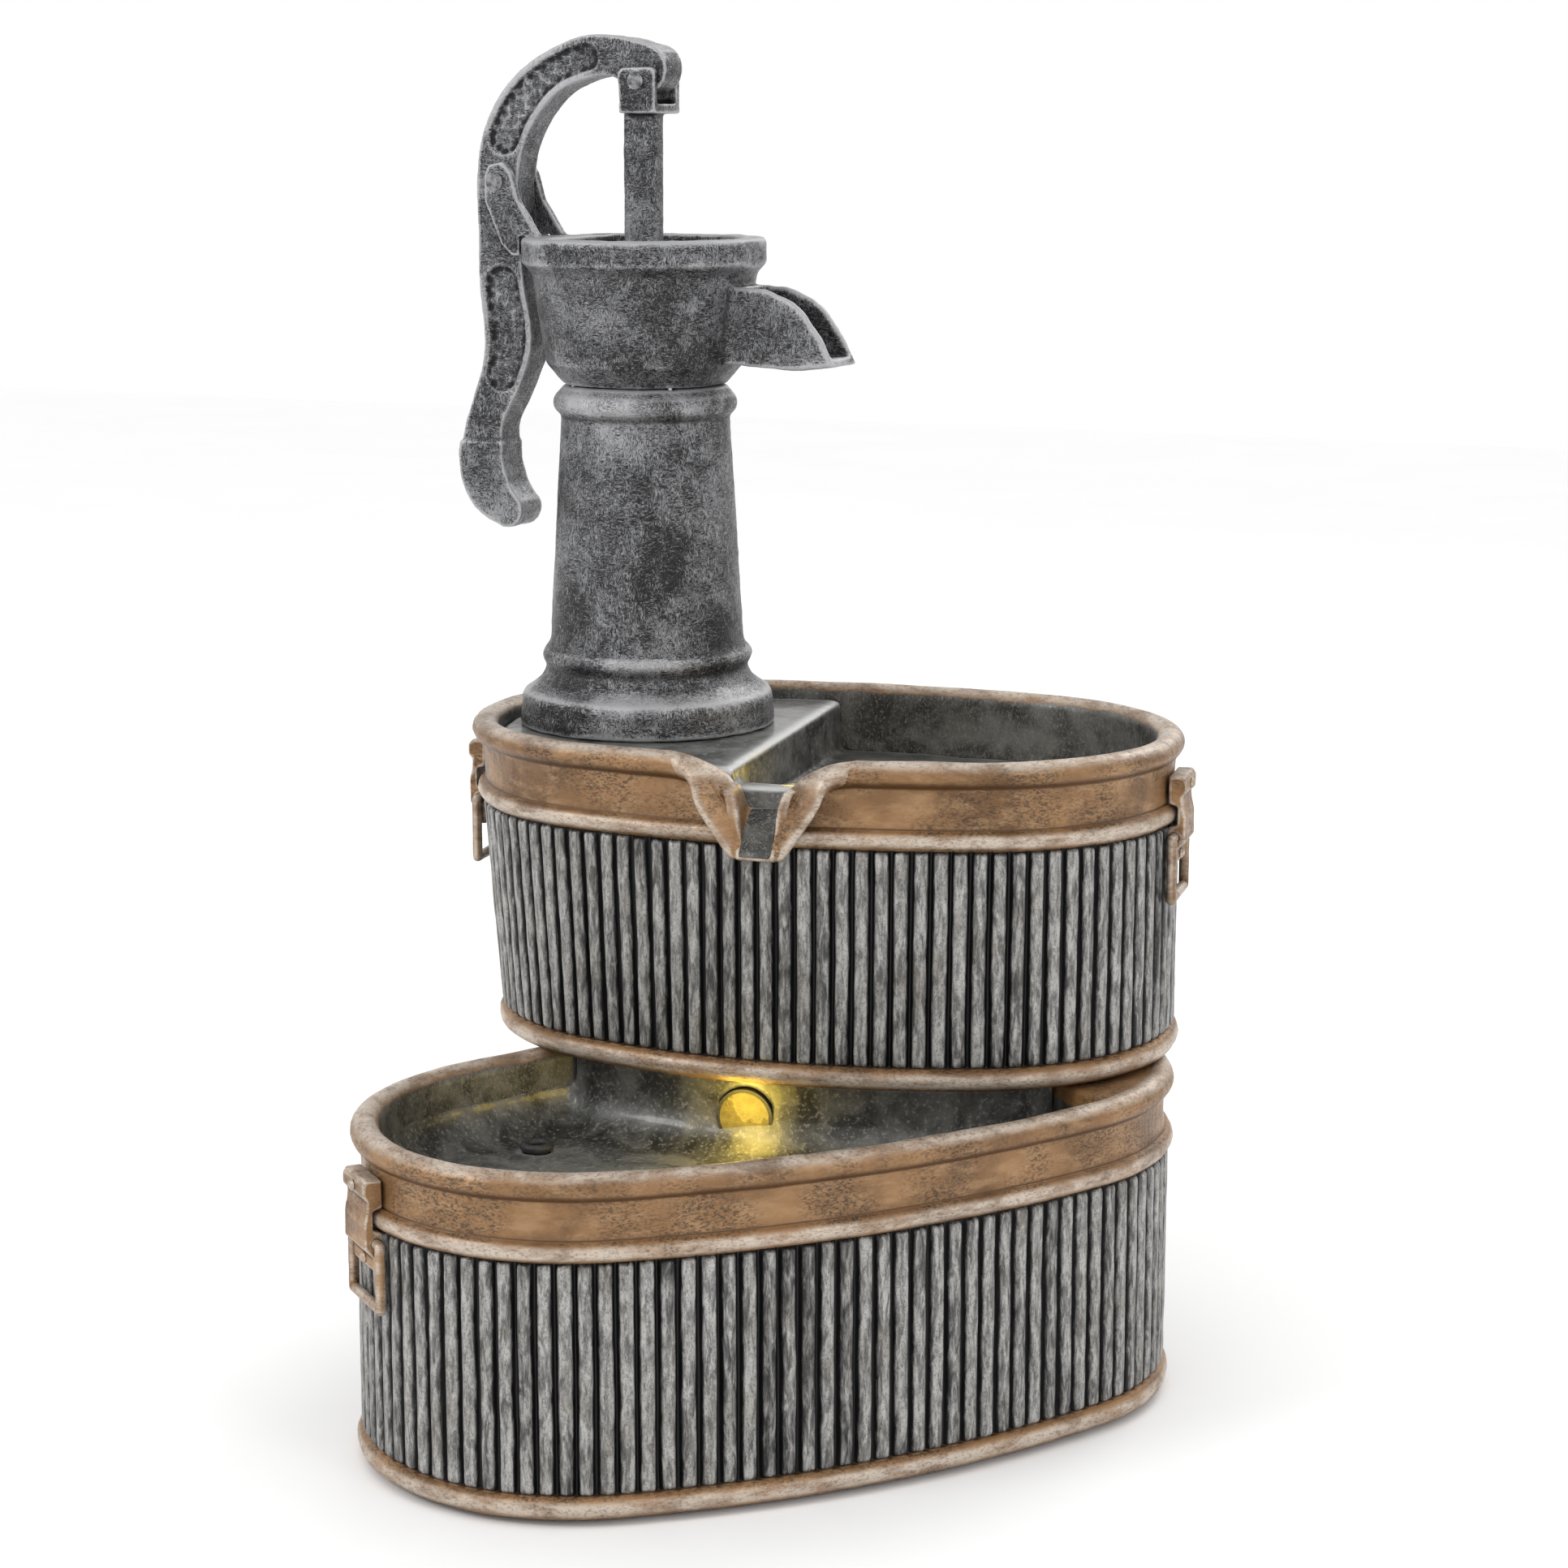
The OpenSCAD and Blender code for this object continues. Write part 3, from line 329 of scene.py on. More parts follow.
class Paint:
    """A material with one Principled shader, and short calls that add its nodes."""

    def __init__(self, name, roughness=0.5, metallic=0.0, **sockets):
        self.material = bpy.data.materials.new(name)
        self.material.use_nodes = True
        self.nodes = self.material.node_tree.nodes
        self.links = self.material.node_tree.links
        self.shader = self.nodes["Principled BSDF"]
        self.shader.inputs["Roughness"].default_value = roughness
        self.shader.inputs["Metallic"].default_value = metallic
        for socket, value in sockets.items():
            self.shader.inputs[socket.replace("_", " ")].default_value = value
        self.place = self.nodes.new("ShaderNodeTexCoord").outputs["Object"]

    def wire(self, value, socket):
        if isinstance(value, bpy.types.NodeSocket):
            self.links.new(value, socket)
        elif isinstance(value, (tuple, list)):
            opaque = len(value) == 3 and socket.type == "RGBA"
            socket.default_value = (*value, 1) if opaque else value
        else:
            socket.default_value = value

    def noise(self, size, detail=3, rough=0.55, warp=0.0, stretch=(1, 1, 1)):
        """Noise with features about size mm across, stretched along an axis by more than 1."""
        mapping = self.nodes.new("ShaderNodeMapping")
        self.links.new(self.place, mapping.inputs["Vector"])
        mapping.inputs["Scale"].default_value = [1 / s for s in stretch]
        node = self.nodes.new("ShaderNodeTexNoise")
        self.links.new(mapping.outputs["Vector"], node.inputs["Vector"])
        node.inputs["Scale"].default_value = 1 / (size * MM)
        node.inputs["Detail"].default_value = detail
        node.inputs["Roughness"].default_value = rough
        node.inputs["Distortion"].default_value = warp
        return node.outputs["Fac"]

    def cells(self, size):
        """Distance from the middle of cells about size mm across."""
        node = self.nodes.new("ShaderNodeTexVoronoi")
        self.links.new(self.place, node.inputs["Vector"])
        node.inputs["Scale"].default_value = 1 / (size * MM)
        return node.outputs["Distance"]

    def value(self, name):
        """A value that the mesh carries at its points."""
        node = self.nodes.new("ShaderNodeAttribute")
        node.attribute_name = name
        return node.outputs["Fac"]

    def step(self, value, low, high, out_low=0.0, out_high=1.0):
        """Maps low..high to out_low..out_high, held at the ends."""
        node = self.nodes.new("ShaderNodeMapRange")
        node.interpolation_type = "SMOOTHSTEP"
        for socket, v in zip(node.inputs, (value, low, high, out_low, out_high)):
            self.wire(v, socket)
        return node.outputs["Result"]

    def math(self, operation, a, b):
        node = self.nodes.new("ShaderNodeMath")
        node.operation = operation
        self.wire(a, node.inputs[0])
        self.wire(b, node.inputs[1])
        return node.outputs["Value"]

    def mix(self, amount, a, b):
        node = self.nodes.new("ShaderNodeMix")
        node.data_type = "RGBA"
        self.wire(amount, node.inputs["Factor"])
        self.wire(a, node.inputs["A"])
        self.wire(b, node.inputs["B"])
        return node.outputs["Result"]

    def blend(self, amount, a, b):
        """Goes from value a to value b as amount goes from 0 to 1."""
        return self.math("ADD", a, self.math("MULTIPLY", amount, self.math("SUBTRACT", b, a)))

    def sway(self, value, noise, amount):
        """Moves a value up and down with a noise."""
        offset = self.math("MULTIPLY", self.math("SUBTRACT", noise, 0.5), amount)
        return self.math("ADD", value, offset)

    def colour(self, value):
        self.wire(value, self.shader.inputs["Base Color"])

    def roughness(self, value):
        self.wire(value, self.shader.inputs["Roughness"])

    def bump(self, height, depth, strength):
        """Small relief of depth mm."""
        node = self.nodes.new("ShaderNodeBump")
        node.inputs["Distance"].default_value = depth * MM
        node.inputs["Strength"].default_value = strength
        self.wire(height, node.inputs["Height"])
        self.links.new(node.outputs["Normal"], self.shader.inputs["Normal"])


def old_iron():
    """Black resin, brushed with silver: a skin of fine wrinkles, pale rounded edges, painted top
    light on faces turned up, and near-black hollows.
    """
    p = Paint("old_iron", metallic=0.45)
    black, silver = (0.008, 0.008, 0.009), (0.24, 0.242, 0.25)
    rubbed, hollow_black = (0.42, 0.42, 0.43), (0.006, 0.006, 0.006)
    patches = p.noise(48, 5, 0.6, 0.4)
    coarse = p.noise(9, 5, 0.6, 0.8)
    level = p.noise(0.85, 3, 0.55, 1.6, stretch=(3.2, 3.2, 1))
    upright = p.noise(0.95, 3, 0.55, 1.6, stretch=(1, 1, 3))
    wrinkle = p.blend(p.step(coarse, 0.44, 0.56), level, upright)
    wear_and_top_light = p.value("wear_and_top_light")
    lift = p.sway(p.sway(wrinkle, patches, 0.5), coarse, 0.3)
    base = p.mix(p.step(lift, 0.41, 0.68), black, silver)
    # Lighter silver on rounded edges, which is rubbed paint, and on faces turned up, which is
    # painted top light
    rubbed_and_top_lit = p.sway(p.sway(wear_and_top_light, patches, 1.1), wrinkle, 0.9)
    base = p.mix(p.math("MULTIPLY", p.step(rubbed_and_top_lit, 0.12, 0.62), 0.85), base, rubbed)
    # Near-black in hollows, less where they face up
    p.colour(p.mix(p.step(wear_and_top_light, -0.08, -0.5), base, hollow_black))
    p.roughness(p.step(wrinkle, 0.3, 0.7, 0.5, 0.36))
    p.bump(wrinkle, 0.8, 0.5)
    return p.material


def bronze_colour(p, high):
    """Copper-gold paint over black, with speckled patches, brown hollows, and pale crests that are
    rubbed paint with a painted highlight.
    """
    copper, gold, bright = (0.15, 0.074, 0.027), (0.31, 0.168, 0.072), (0.46, 0.29, 0.15)
    tarnish, hollow = (0.03, 0.022, 0.016), (0.085, 0.04, 0.015)
    rubbed, chipped = (0.56, 0.48, 0.4), (0.1, 0.06, 0.035)
    tone = p.noise(60, 3, 0.5)
    brushed = p.noise(7, 5, 0.6, 0.3, stretch=(3, 3, 1))
    speck = p.noise(1.1, 4, 0.7, 0.5, stretch=(2.2, 2.2, 1))
    patch = p.noise(38, 4, 0.6)
    coat = p.mix(p.step(tone, 0.3, 0.7), copper, gold)
    coat = p.mix(p.step(brushed, 0.42, 0.7, 0, 0.45), coat, bright)
    dark = p.math("MULTIPLY", p.step(speck, 0.44, 0.6), p.step(patch, 0.34, 0.6))
    coat = p.mix(p.math("MULTIPLY", dark, 0.8), coat, tarnish)
    coat = p.mix(p.step(high, 0.26, 0.0), coat, hollow)
    # Pale crests: rubbed paint, with a painted highlight laid over them
    pale = p.math("MULTIPLY", p.step(high, 0.62, 1.0), p.step(brushed, 0.34, 0.62, 0.3, 0.95))
    coat = p.mix(pale, coat, rubbed)
    crest = p.step(high, 0.7, 1.0)
    worn = p.math("MULTIPLY", crest, p.math("MULTIPLY", p.step(speck, 0.5, 0.62), 0.5))
    return p.mix(worn, coat, chipped)


def tub_paint():
    """One tub: ribbed wall of silver over black, copper-gold bands, and a dark mottled inside."""
    p = Paint("tub_paint", metallic=0.35)
    groove, dull, silver = (0.004, 0.004, 0.0043), (0.13, 0.128, 0.124), (0.43, 0.422, 0.405)
    stain, pit, fleck = (0.15, 0.125, 0.09), (0.03, 0.03, 0.03), (0.64, 0.63, 0.61)
    wet, damp, lime = (0.03, 0.03, 0.027), (0.15, 0.148, 0.138), (0.27, 0.265, 0.25)
    high = p.value("high")
    inside = p.value("inside")
    streak = p.noise(3.0, 6, 0.7, 0.5, stretch=(1, 1, 5))
    grit = p.noise(1.3, 4, 0.65, 1.2, stretch=(1, 1, 1.6))
    mottle = p.noise(30, 4, 0.65, 0.5)
    rib = p.mix(p.step(streak, 0.36, 0.64), dull, silver)
    rib = p.mix(p.step(mottle, 0.46, 0.74, 0, 0.5), rib, stain)
    rib = p.mix(p.math("MULTIPLY", p.step(grit, 0.5, 0.62), 0.5), rib, pit)
    rib = p.mix(p.math("MULTIPLY", p.step(grit, 0.42, 0.3), 0.4), rib, fleck)
    lifted = p.sway(p.sway(high, streak, 0.8), grit, 0.3)
    wall = p.mix(p.step(lifted, 0.34, 0.8), groove, rib)
    outside = p.mix(p.value("band"), wall, bronze_colour(p, high))
    lining = p.mix(p.step(mottle, 0.36, 0.66), wet, damp)
    lining = p.mix(p.math("MULTIPLY", p.step(grit, 0.5, 0.64), 0.6), lining, lime)
    edge = p.sway(inside, mottle, 0.5)
    p.colour(p.mix(p.step(edge, 0.4, 0.6), outside, lining))
    p.roughness(p.step(streak, 0.3, 0.7, 0.3, 0.52))
    p.bump(p.math("ADD", streak, p.math("MULTIPLY", grit, 0.5)), 0.6, 0.45)
    return p.material


def aged_bronze():
    """The bands' paint, for the straps, rivets and rings; pale on rounded edges and, as painted top
    light, on faces turned up.
    """
    p = Paint("aged_bronze", metallic=0.4)
    wear_and_top_light = p.value("wear_and_top_light")
    # Crests follow edge wear and the painted top light on faces turned up
    high = p.step(wear_and_top_light, -0.35, 0.55)
    p.colour(bronze_colour(p, high))
    p.roughness(p.step(p.noise(4, 4), 0.3, 0.7, 0.32, 0.52))
    p.bump(p.noise(2.5, 5, 0.7), 0.5, 0.5)
    return p.material


def wet_resin():
    """The inside of the basins: dark grey, mottled, with a wet gloss; paler on rounded edges and,
    as painted top light, on faces turned up.
    """
    p = Paint("wet_resin", metallic=0.15, Coat_Weight=0.35, Coat_Roughness=0.12)
    wet, damp = (0.022, 0.022, 0.02), (0.13, 0.13, 0.122)
    lime, rubbed = (0.3, 0.3, 0.28), (0.5, 0.5, 0.49)
    cloud = p.noise(28, 5, 0.6, 0.6)
    grain = p.noise(2.6, 6, 0.72)
    wear_and_top_light = p.value("wear_and_top_light")
    base = p.mix(p.step(cloud, 0.36, 0.66), wet, damp)
    base = p.mix(p.math("MULTIPLY", p.step(grain, 0.52, 0.64), 0.5), base, lime)
    # Paler on rounded edges, which is rubbed paint, and on faces turned up, which is painted top
    # light
    p.colour(p.mix(p.step(wear_and_top_light, 0.3, 0.95), base, rubbed))
    p.roughness(p.step(grain, 0.3, 0.7, 0.26, 0.5))
    p.bump(p.math("ADD", cloud, grain), 0.6, 0.4)
    return p.material


def simple(name, dark, light, size, roughness, metallic=0.0, relief=0.15, stretch=(1, 1, 1),
           **sockets):
    """A plain material with fine variation in colour, roughness and relief."""
    p = Paint(name, metallic=metallic, **sockets)
    n = p.noise(size, 5, 0.6, 0.2, stretch)
    fine = p.noise(size * 0.25, 4, 0.6)
    p.colour(p.mix(p.step(n, 0.3, 0.7), dark, light))
    p.roughness(p.step(fine, 0.3, 0.7, roughness - 0.07, roughness + 0.08))
    p.bump(fine, relief, 0.5)
    return p.material


def lamp_glass():
    """A lamp's lens: yellow, pebbled and faintly lit."""
    p = Paint("lamp_glass", roughness=0.12, Transmission_Weight=0.6, Emission_Strength=0.08,
              Emission_Color=(1.0, 0.66, 0.08, 1))
    p.colour(p.mix(p.cells(4), (0.2, 0.16, 0.05), (0.36, 0.3, 0.12)))
    p.bump(p.cells(4), 0.5, 0.6)
    return p.material


IRON = old_iron()
TUB = tub_paint()
BRONZE = aged_bronze()
RESIN = wet_resin()
RUBBER = simple("black_rubber", (0.012, 0.012, 0.012), (0.03, 0.03, 0.03), 6, 0.55)
PLASTIC = simple("black_plastic", (0.02, 0.02, 0.021), (0.04, 0.04, 0.042), 3, 0.42)
ZINC = simple("zinc_steel", (0.45, 0.45, 0.46), (0.7, 0.7, 0.72), 3, 0.34, 1.0, 0.05)
DARK_STEEL = simple("dark_steel", (0.05, 0.05, 0.052), (0.32, 0.32, 0.33), 4, 0.42, 0.8)
GROUND = simple("ground_steel", (0.6, 0.6, 0.61), (0.78, 0.78, 0.79), 2, 0.22, 1.0, 0.02, (8, 1, 1))
MAGNET = simple("magnet_grey", (0.16, 0.16, 0.165), (0.28, 0.28, 0.29), 5, 0.5)
HOSE = simple("hose_pvc", (0.4, 0.43, 0.43), (0.58, 0.61, 0.61), 12, 0.3, Transmission_Weight=0.25)
LED = simple("led_white", (0.8, 0.8, 0.74), (0.92, 0.92, 0.86), 2, 0.5)
LENS_GLASS = lamp_glass()

CAD_MATERIALS = {                               # material of each CAD slot
    "black_rubber": RUBBER, "black_plastic": PLASTIC, "zinc_steel": ZINC, "dark_steel": DARK_STEEL,
    "ground_steel": GROUND, "magnet_grey": MAGNET, "hose_pvc": HOSE, "led_white": LED,
    "lamp_lens": LENS_GLASS, "gunmetal_resin": IRON, "aged_bronze": BRONZE, "basin_resin": RESIN,
    "tub_finish": TUB,
}
for cad_node, cad_obj in frame["nodes"].items():
    cad_obj.data.materials.clear()
    cad_obj.data.materials.append(CAD_MATERIALS[SLOT_OF[cad_node]])

# ---------------------------------------------------------------- tubs

RIB_PITCH = 11.3
RIB_SAMPLES = np.array([0, 0.07, 0.14, 0.21, 0.3, 0.5, 0.7, 0.79, 0.86, 0.93])
RIB_START, RIB_FULL, RIB_LESS, RIB_STOP = 0.04, 0.2, 0.8, 0.96  # its slopes, as shares of a pitch
RIB_TIP = 3.6                                   # height over which a rib's end rounds off
RIB_SLIDE = 0.006                               # keeps the ribs of a tapering tub upright
RIB_WAVER = 0.045                               # how far a rib strays sideways ...
RIB_VARY = 0.04                                 # ... and its width varies, as shares of a pitch
RIB_APART = 7.3                                 # keeps the noise of neighbouring ribs apart
RIB_WAVE_H = 38                                 # height of a waver
GROOVE_D = -7.4                                 # bottom of a groove, from the beads' crests
RIB_D = -2.8                                    # top of a rib
FOOT_BEAD, BAND_BEAD = 13, 12                   # heights of the beads under and over the ribs
BEAD_DEPTH = 5.5
RIM_H, RIM_DEPTH = 8, 8.5                       # half height and half thickness of the rim


def oval(plan, at):
    """Points, outward normals and length of a tub's plan, at shares of the way round from +X."""
    length, width, r = plan
    k = ((length - r) ** 2 - (width - r) ** 2) / (2 * (width - r))
    e = math.atan2(k, length - r)
    side_r = width + k
    arcs = [
        ((length - r, 0), r, -e, e), ((0, -k), side_r, e, math.pi - e),
        ((r - length, 0), r, math.pi - e, math.pi + e),
        ((0, k), side_r, math.pi + e, 2 * math.pi - e),
    ]
    sizes = [radius * (b - a) for _, radius, a, b in arcs]
    points = np.zeros((len(at), 2))
    normals = np.zeros((len(at), 2))
    run = (np.asarray(at) * sum(sizes) + e * r) % sum(sizes)
    start = 0
    for (centre, radius, a, b), size in zip(arcs, sizes):
        here = (run >= start - 1e-9) & (run < start + size + 1e-9)
        angle = a + (run[here] - start) / radius
        ray = np.stack([np.cos(angle), np.sin(angle)], 1)
        points[here] = np.array(centre) + radius * ray
        normals[here] = ray
        start += size
    return points, normals, sum(sizes)


def half_round(middle, height, steps=9):
    """Stations over a bead: height, depth from the bead's crest, and how raised it is."""
    turns = np.radians(np.linspace(0, 180, steps))
    return [(middle - height / 2 * math.cos(t), -BEAD_DEPTH * (1 - math.sin(t)), math.sin(t))
            for t in turns]


def tub_stations(height, foot, foot_middle, band_middle, tub_floor):
    """Rows of a tub from its foot, up the outside, over the rim and down the inside.
    Each is height, depth, raised, band, inside and how strong the ribs are."""
    rows = [(foot, -40, 0, 1, 0, 0), (foot, -6.5, 0, 1, 0, 0)]
    rows += [(z, d, h, 1, 0, 0) for z, d, h in half_round(foot_middle, FOOT_BEAD)]
    low, high = foot_middle + FOOT_BEAD / 2, band_middle - BAND_BEAD / 2
    ends = [0.4, 1.2, 2.2, 3.4, 5]
    heights = [low + t for t in ends] + list(np.linspace(low + 10, high - 10, 17))
    for z in heights + [high - t for t in ends[::-1]]:
        t = min(z - low, high - z)
        rib = math.sqrt(max(0.0, 1 - (1 - min(t / RIB_TIP, 1)) ** 2))
        rows.append((z, GROOVE_D, 0, 0, 0, rib))
    rows += [(z, d, h, 1, 0, 0) for z, d, h in half_round(band_middle, BAND_BEAD)]
    low, high = band_middle + BAND_BEAD / 2, height - 15
    for t in (0.06, 0.2, 0.4, 0.6, 0.8, 0.94):
        dish = math.sin(math.pi * t)
        rows.append((low + (high - low) * t, -5 - 0.7 * dish, 0.2 + 0.4 * dish, 1, 0, 0))
    for turn in np.radians(np.linspace(-62, 180, 17)):
        raised = min(1, max(0.05, 0.45 + 0.6 * math.sin(turn)))
        within = max(0.0, -math.cos(turn)) ** 3 * 0.7
        z, d = height - RIM_H + RIM_H * math.sin(turn), -RIM_DEPTH + RIM_DEPTH * math.cos(turn)
        rows.append((z, d, raised, 1, within, 0))
    for drop, inside in ((10, 0.75), (13, 1), (20, 1), (28, 1), (36, 1), (44, 1), (52, 1)):
        rows.append((height - drop, WALL_D, 0.4, 1, inside, 0))
    rows += [(height - 56, WALL_D - 8, 0.4, 1, 1, 0), (tub_floor, WALL_D - 8, 0.4, 1, 1, 0),
             (tub_floor, -60, 0.4, 1, 1, 0)]
    return rows


# Half widths of the pouring notch, and how far it drops from the rim there
NOTCH_AT = [0, 9, 11, 14, 19, 26, 34, 43, 54]
NOTCH_DROP = [56, 55, 48, 36, 24, 13, 6.5, 2, 0]
FRONT_Y = -60                                   # the notch is only cut in front of this
FLARE, FLARE_AT, FLARE_WIDTH = 1.5, 18, 15      # how far the wall bows out beside it, and where


def cut_notch(points, height, band_top):
    """Rolls the rim down into the notch at the front, and flares the wall out to its lips."""
    x, y, z = points[..., 0], points[..., 1], points[..., 2]
    front = y < FRONT_Y
    top = height - np.interp(np.abs(x), NOTCH_AT, NOTCH_DROP)
    share = np.maximum(top - band_top, 0) / (height - band_top)
    squeezed = np.where(z > band_top, band_top + (z - band_top) * share, z)
    points[..., 2] = np.where(front, np.minimum(squeezed, top), z)
    bow = np.exp(-(((np.abs(x) - FLARE_AT) / FLARE_WIDTH) ** 2))
    flare = FLARE * bow * smoothstep(height - 66, height - 40, z)
    points[..., 1] = np.where(front, y - flare, y)


def tub(name, plan, taper, height, foot, foot_middle, band_middle, base_z, notch, seed):
    """A ribbed oval tub in its own place: long axis along X, underside at base_z."""
    around = oval(plan, [0])[2]
    ribs = round(around / RIB_PITCH)
    at = ((np.arange(ribs)[:, None] + RIB_SAMPLES) / ribs).ravel()
    rows = tub_stations(height, foot, foot_middle, band_middle, foot + 10)
    rib_id = np.repeat(np.arange(ribs), len(RIB_SAMPLES))
    phase = np.tile(RIB_SAMPLES, ribs)
    rings, raised, band, inside = [], [], [], []
    for z, d, high, on_band, within, rib in rows:
        low = (1 - z / height) if taper else 0
        here = (plan[0] - taper / 2 * low, plan[1] + (3 * low if taper else 0), plan[2])
        spot = np.stack([rib_id * RIB_APART, np.full(len(at), z / RIB_WAVE_H),
                         np.full(len(at), 0.5)], 1)
        waver = RIB_WAVER * noise3(spot, 1, seed)
        slide = RIB_SLIDE * low * np.sin(2 * np.pi * at)
        points, normals, _ = oval(here, at + slide + waver * rib / ribs)
        width = RIB_VARY * noise3(spot * [1, 0.6, 1], 1, seed + 5)
        rise = smoothstep(RIB_START - width, RIB_FULL, phase)
        flat = rise * (1 - smoothstep(RIB_LESS, RIB_STOP + width, phase))
        # Rounds each rib's crown; through high it also makes the rib's middle lighter and its sides
        # darker, a painted shading
        crown = flat * (0.6 + 0.4 * np.sin(np.pi * phase))
        rubbed = 0.76 + 0.3 * noise3(spot * [1, 0.5, 1], 1, seed + 7)
        depth = d + rib * crown * (RIB_D - GROOVE_D)
        ring = np.zeros((len(at), 3))
        ring[:, :2] = points + [taper / 2 * low, 0]
        ring[:, 2] = z
        wobble = fractal(np.c_[ring[:, :2], np.full(len(at), z)], (34, 34, 20), seed + 9)
        fine = noise3(ring, 7, seed + 12)
        rough = (0.5 if on_band and not within else 0.22) * (wobble - 0.7) + 0.22 * (fine - 0.5)
        ring[:, :2] += normals * (depth + rough)[:, None]
        if on_band and z > height - 10:
            ring[:, 2] += 0.5 * (noise3(ring, (30, 30, 60), seed + 3) - 1)
        rings.append(ring)
        crest = np.clip(crown * rubbed * rib, 0, 1)
        raised.append(crest if rib > 0 or not on_band else np.full(len(at), high))
        band.append(np.full(len(at), float(on_band)))
        inside.append(np.full(len(at), float(within)))
    rings = np.array(rings)
    if notch:
        cut_notch(rings, height, band_middle + BAND_BEAD / 2)
    rings[..., 2] += base_z
    obj = ring_solid(name, rings)
    set_values(obj, "high", np.concatenate(raised))
    set_values(obj, "band", np.concatenate(band))
    set_values(obj, "inside", np.concatenate(inside))
    smooth_shading(obj)
    return obj


def place(obj, angle, centre=(0, 0)):
    """Turns an object about Z and moves it to centre."""
    move_points(obj, turned(points_of(obj), angle, centre))
    return obj


def curve_through(points, steps):
    """Catmull-Rom line through the points."""
    p = np.asarray(points, float)
    p = np.vstack([2 * p[0] - p[1], p, 2 * p[-1] - p[-2]])
    t = np.linspace(0, 1, steps, endpoint=False)[:, None]
    out = []
    for a, b, c, d in zip(p, p[1:], p[2:], p[3:]):
        out.append(0.5 * (2 * b + (c - a) * t + (2 * a - 5 * b + 4 * c - d) * t**2
                          + (3 * b - a - 3 * c + d) * t**3))
    return np.vstack(out + [p[-2:-1]])


def sweep(name, stations, wide_to, steps=5, sides=20):
    """Tapering bar of oval section; a station is x, y, z, half width and half thickness."""
    line = curve_through(stations, steps)
    path = line[:, :3]
    rings = []
    for i in range(len(path)):
        ahead = path[min(i + 1, len(path) - 1)] - path[max(i - 1, 0)]
        ahead /= np.linalg.norm(ahead)
        wide = np.array(wide_to, float) - np.dot(wide_to, ahead) * ahead
        wide /= np.linalg.norm(wide)
        thick = np.cross(ahead, wide)
        turn = np.linspace(0, 2 * math.pi, sides, endpoint=False)[:, None]
        rings.append(path[i] + wide * np.cos(turn) * line[i, 3] + thick * np.sin(turn) * line[i, 4])
    return ring_solid(name, rings)


def extruded(name, outline, low, high, axis):
    """Flat outline, pushed from low to high along axis 0 (the outline is y, z) or 1 (x, z)."""
    outline = np.asarray(outline, float)
    rings = []
    for at in (low, high):
        ring = np.zeros((len(outline), 3))
        ring[:, axis] = at
        ring[:, 1 - axis] = outline[:, 0]
        ring[:, 2] = outline[:, 1]
        rings.append(ring)
    return ring_solid(name, rings)


# Middle of the right-hand lip, from the rim to its tip:
# x, y, height from the rim, half width, half thickness
LIP = [
    (74, -119, -9, 4, 4), (60, -125.5, -8.4, 7.2, 6.6), (48, -129, -8.6, 8.2, 7.4),
    (38, -131.5, -11, 10.5, 6.6), (30, -134, -17, 13.5, 5), (24.5, -136.5, -26, 14, 4.2),
    (20, -139, -37, 11, 3.6), (16, -141.5, -48, 7, 3.2), (12.5, -143, -57.5, 3, 2.8),
]
# Outline of the trough that holds the chute's bed: x, height from the rim
TROUGH = [
    (21, -18), (18, -29), (14.5, -57), (-14.5, -57), (-18, -29), (-21, -18),
    (-15.5, -18), (-11.5, -28), (-9, -50), (9, -50), (11.5, -28), (15.5, -18),
]
BED_HALF = 11                                   # half width of the chute's bed
BED_RISE, BED_RUN = 24, 26                      # slope of its top


def pouring_lip():
    """The rolled lips of the notch with the sloped chute between them."""
    parts = []
    for side in (-1, 1):
        stations = [(side * x, y, RIM_Z + z, wide, thick) for x, y, z, wide, thick in LIP]
        parts.append(sweep("lip", stations, (0.86 * side, -0.45, 0.2)))
    trough = [(x, RIM_Z + z) for x, z in TROUGH]
    parts.append(extruded("trough", trough, CHUTE_Y + 6, CHUTE_BACK_Y, 1))
    bed = [(CHUTE_Y + 0.6, SPILL_Z - 4), (CHUTE_BACK_Y, SPILL_Z - 6), (CHUTE_BACK_Y, SPILL_Z + 23),
           (CHUTE_Y + 0.6, SPILL_Z)]
    parts.append(extruded("bed", bed, -BED_HALF, BED_HALF, 0))
    obj = joined("pouring_lip", parts)
    cast(obj, voxel=1.1, rounds=4, grain=0.25, grain_size=14, seed=31)
    points = points_of(obj)
    off_bed = np.abs(points[:, 2] - SPILL_Z - BED_RISE * (points[:, 1] - CHUTE_Y) / BED_RUN)
    off_middle = np.abs(points[:, 0])
    bed_share = (1 - smoothstep(1, 4, off_bed)) * (1 - smoothstep(8, BED_HALF, off_middle))
    # Its crests follow edge wear and the painted top light on faces turned up, and take the pale
    # crest colour
    set_values(obj, "high", np.clip(0.62 + 0.8 * values_of(obj, "wear_and_top_light"), 0, 1))
    set_values(obj, "band", np.ones(len(points)))
    set_values(obj, "inside", bed_share)
    drop_values(obj, "wear_and_top_light")
    return obj


SHELF_X = 150                                   # where the lower tub's shelf begins
SHELF_WALL, SHELF_HALF = 8, 112                 # thickness and half length of the wall under it
SHELF_DROPS = (11, 1.5)                         # its underside and top, from the rim down
SHELF_INSET = 11                                # its edge, from the beads inward


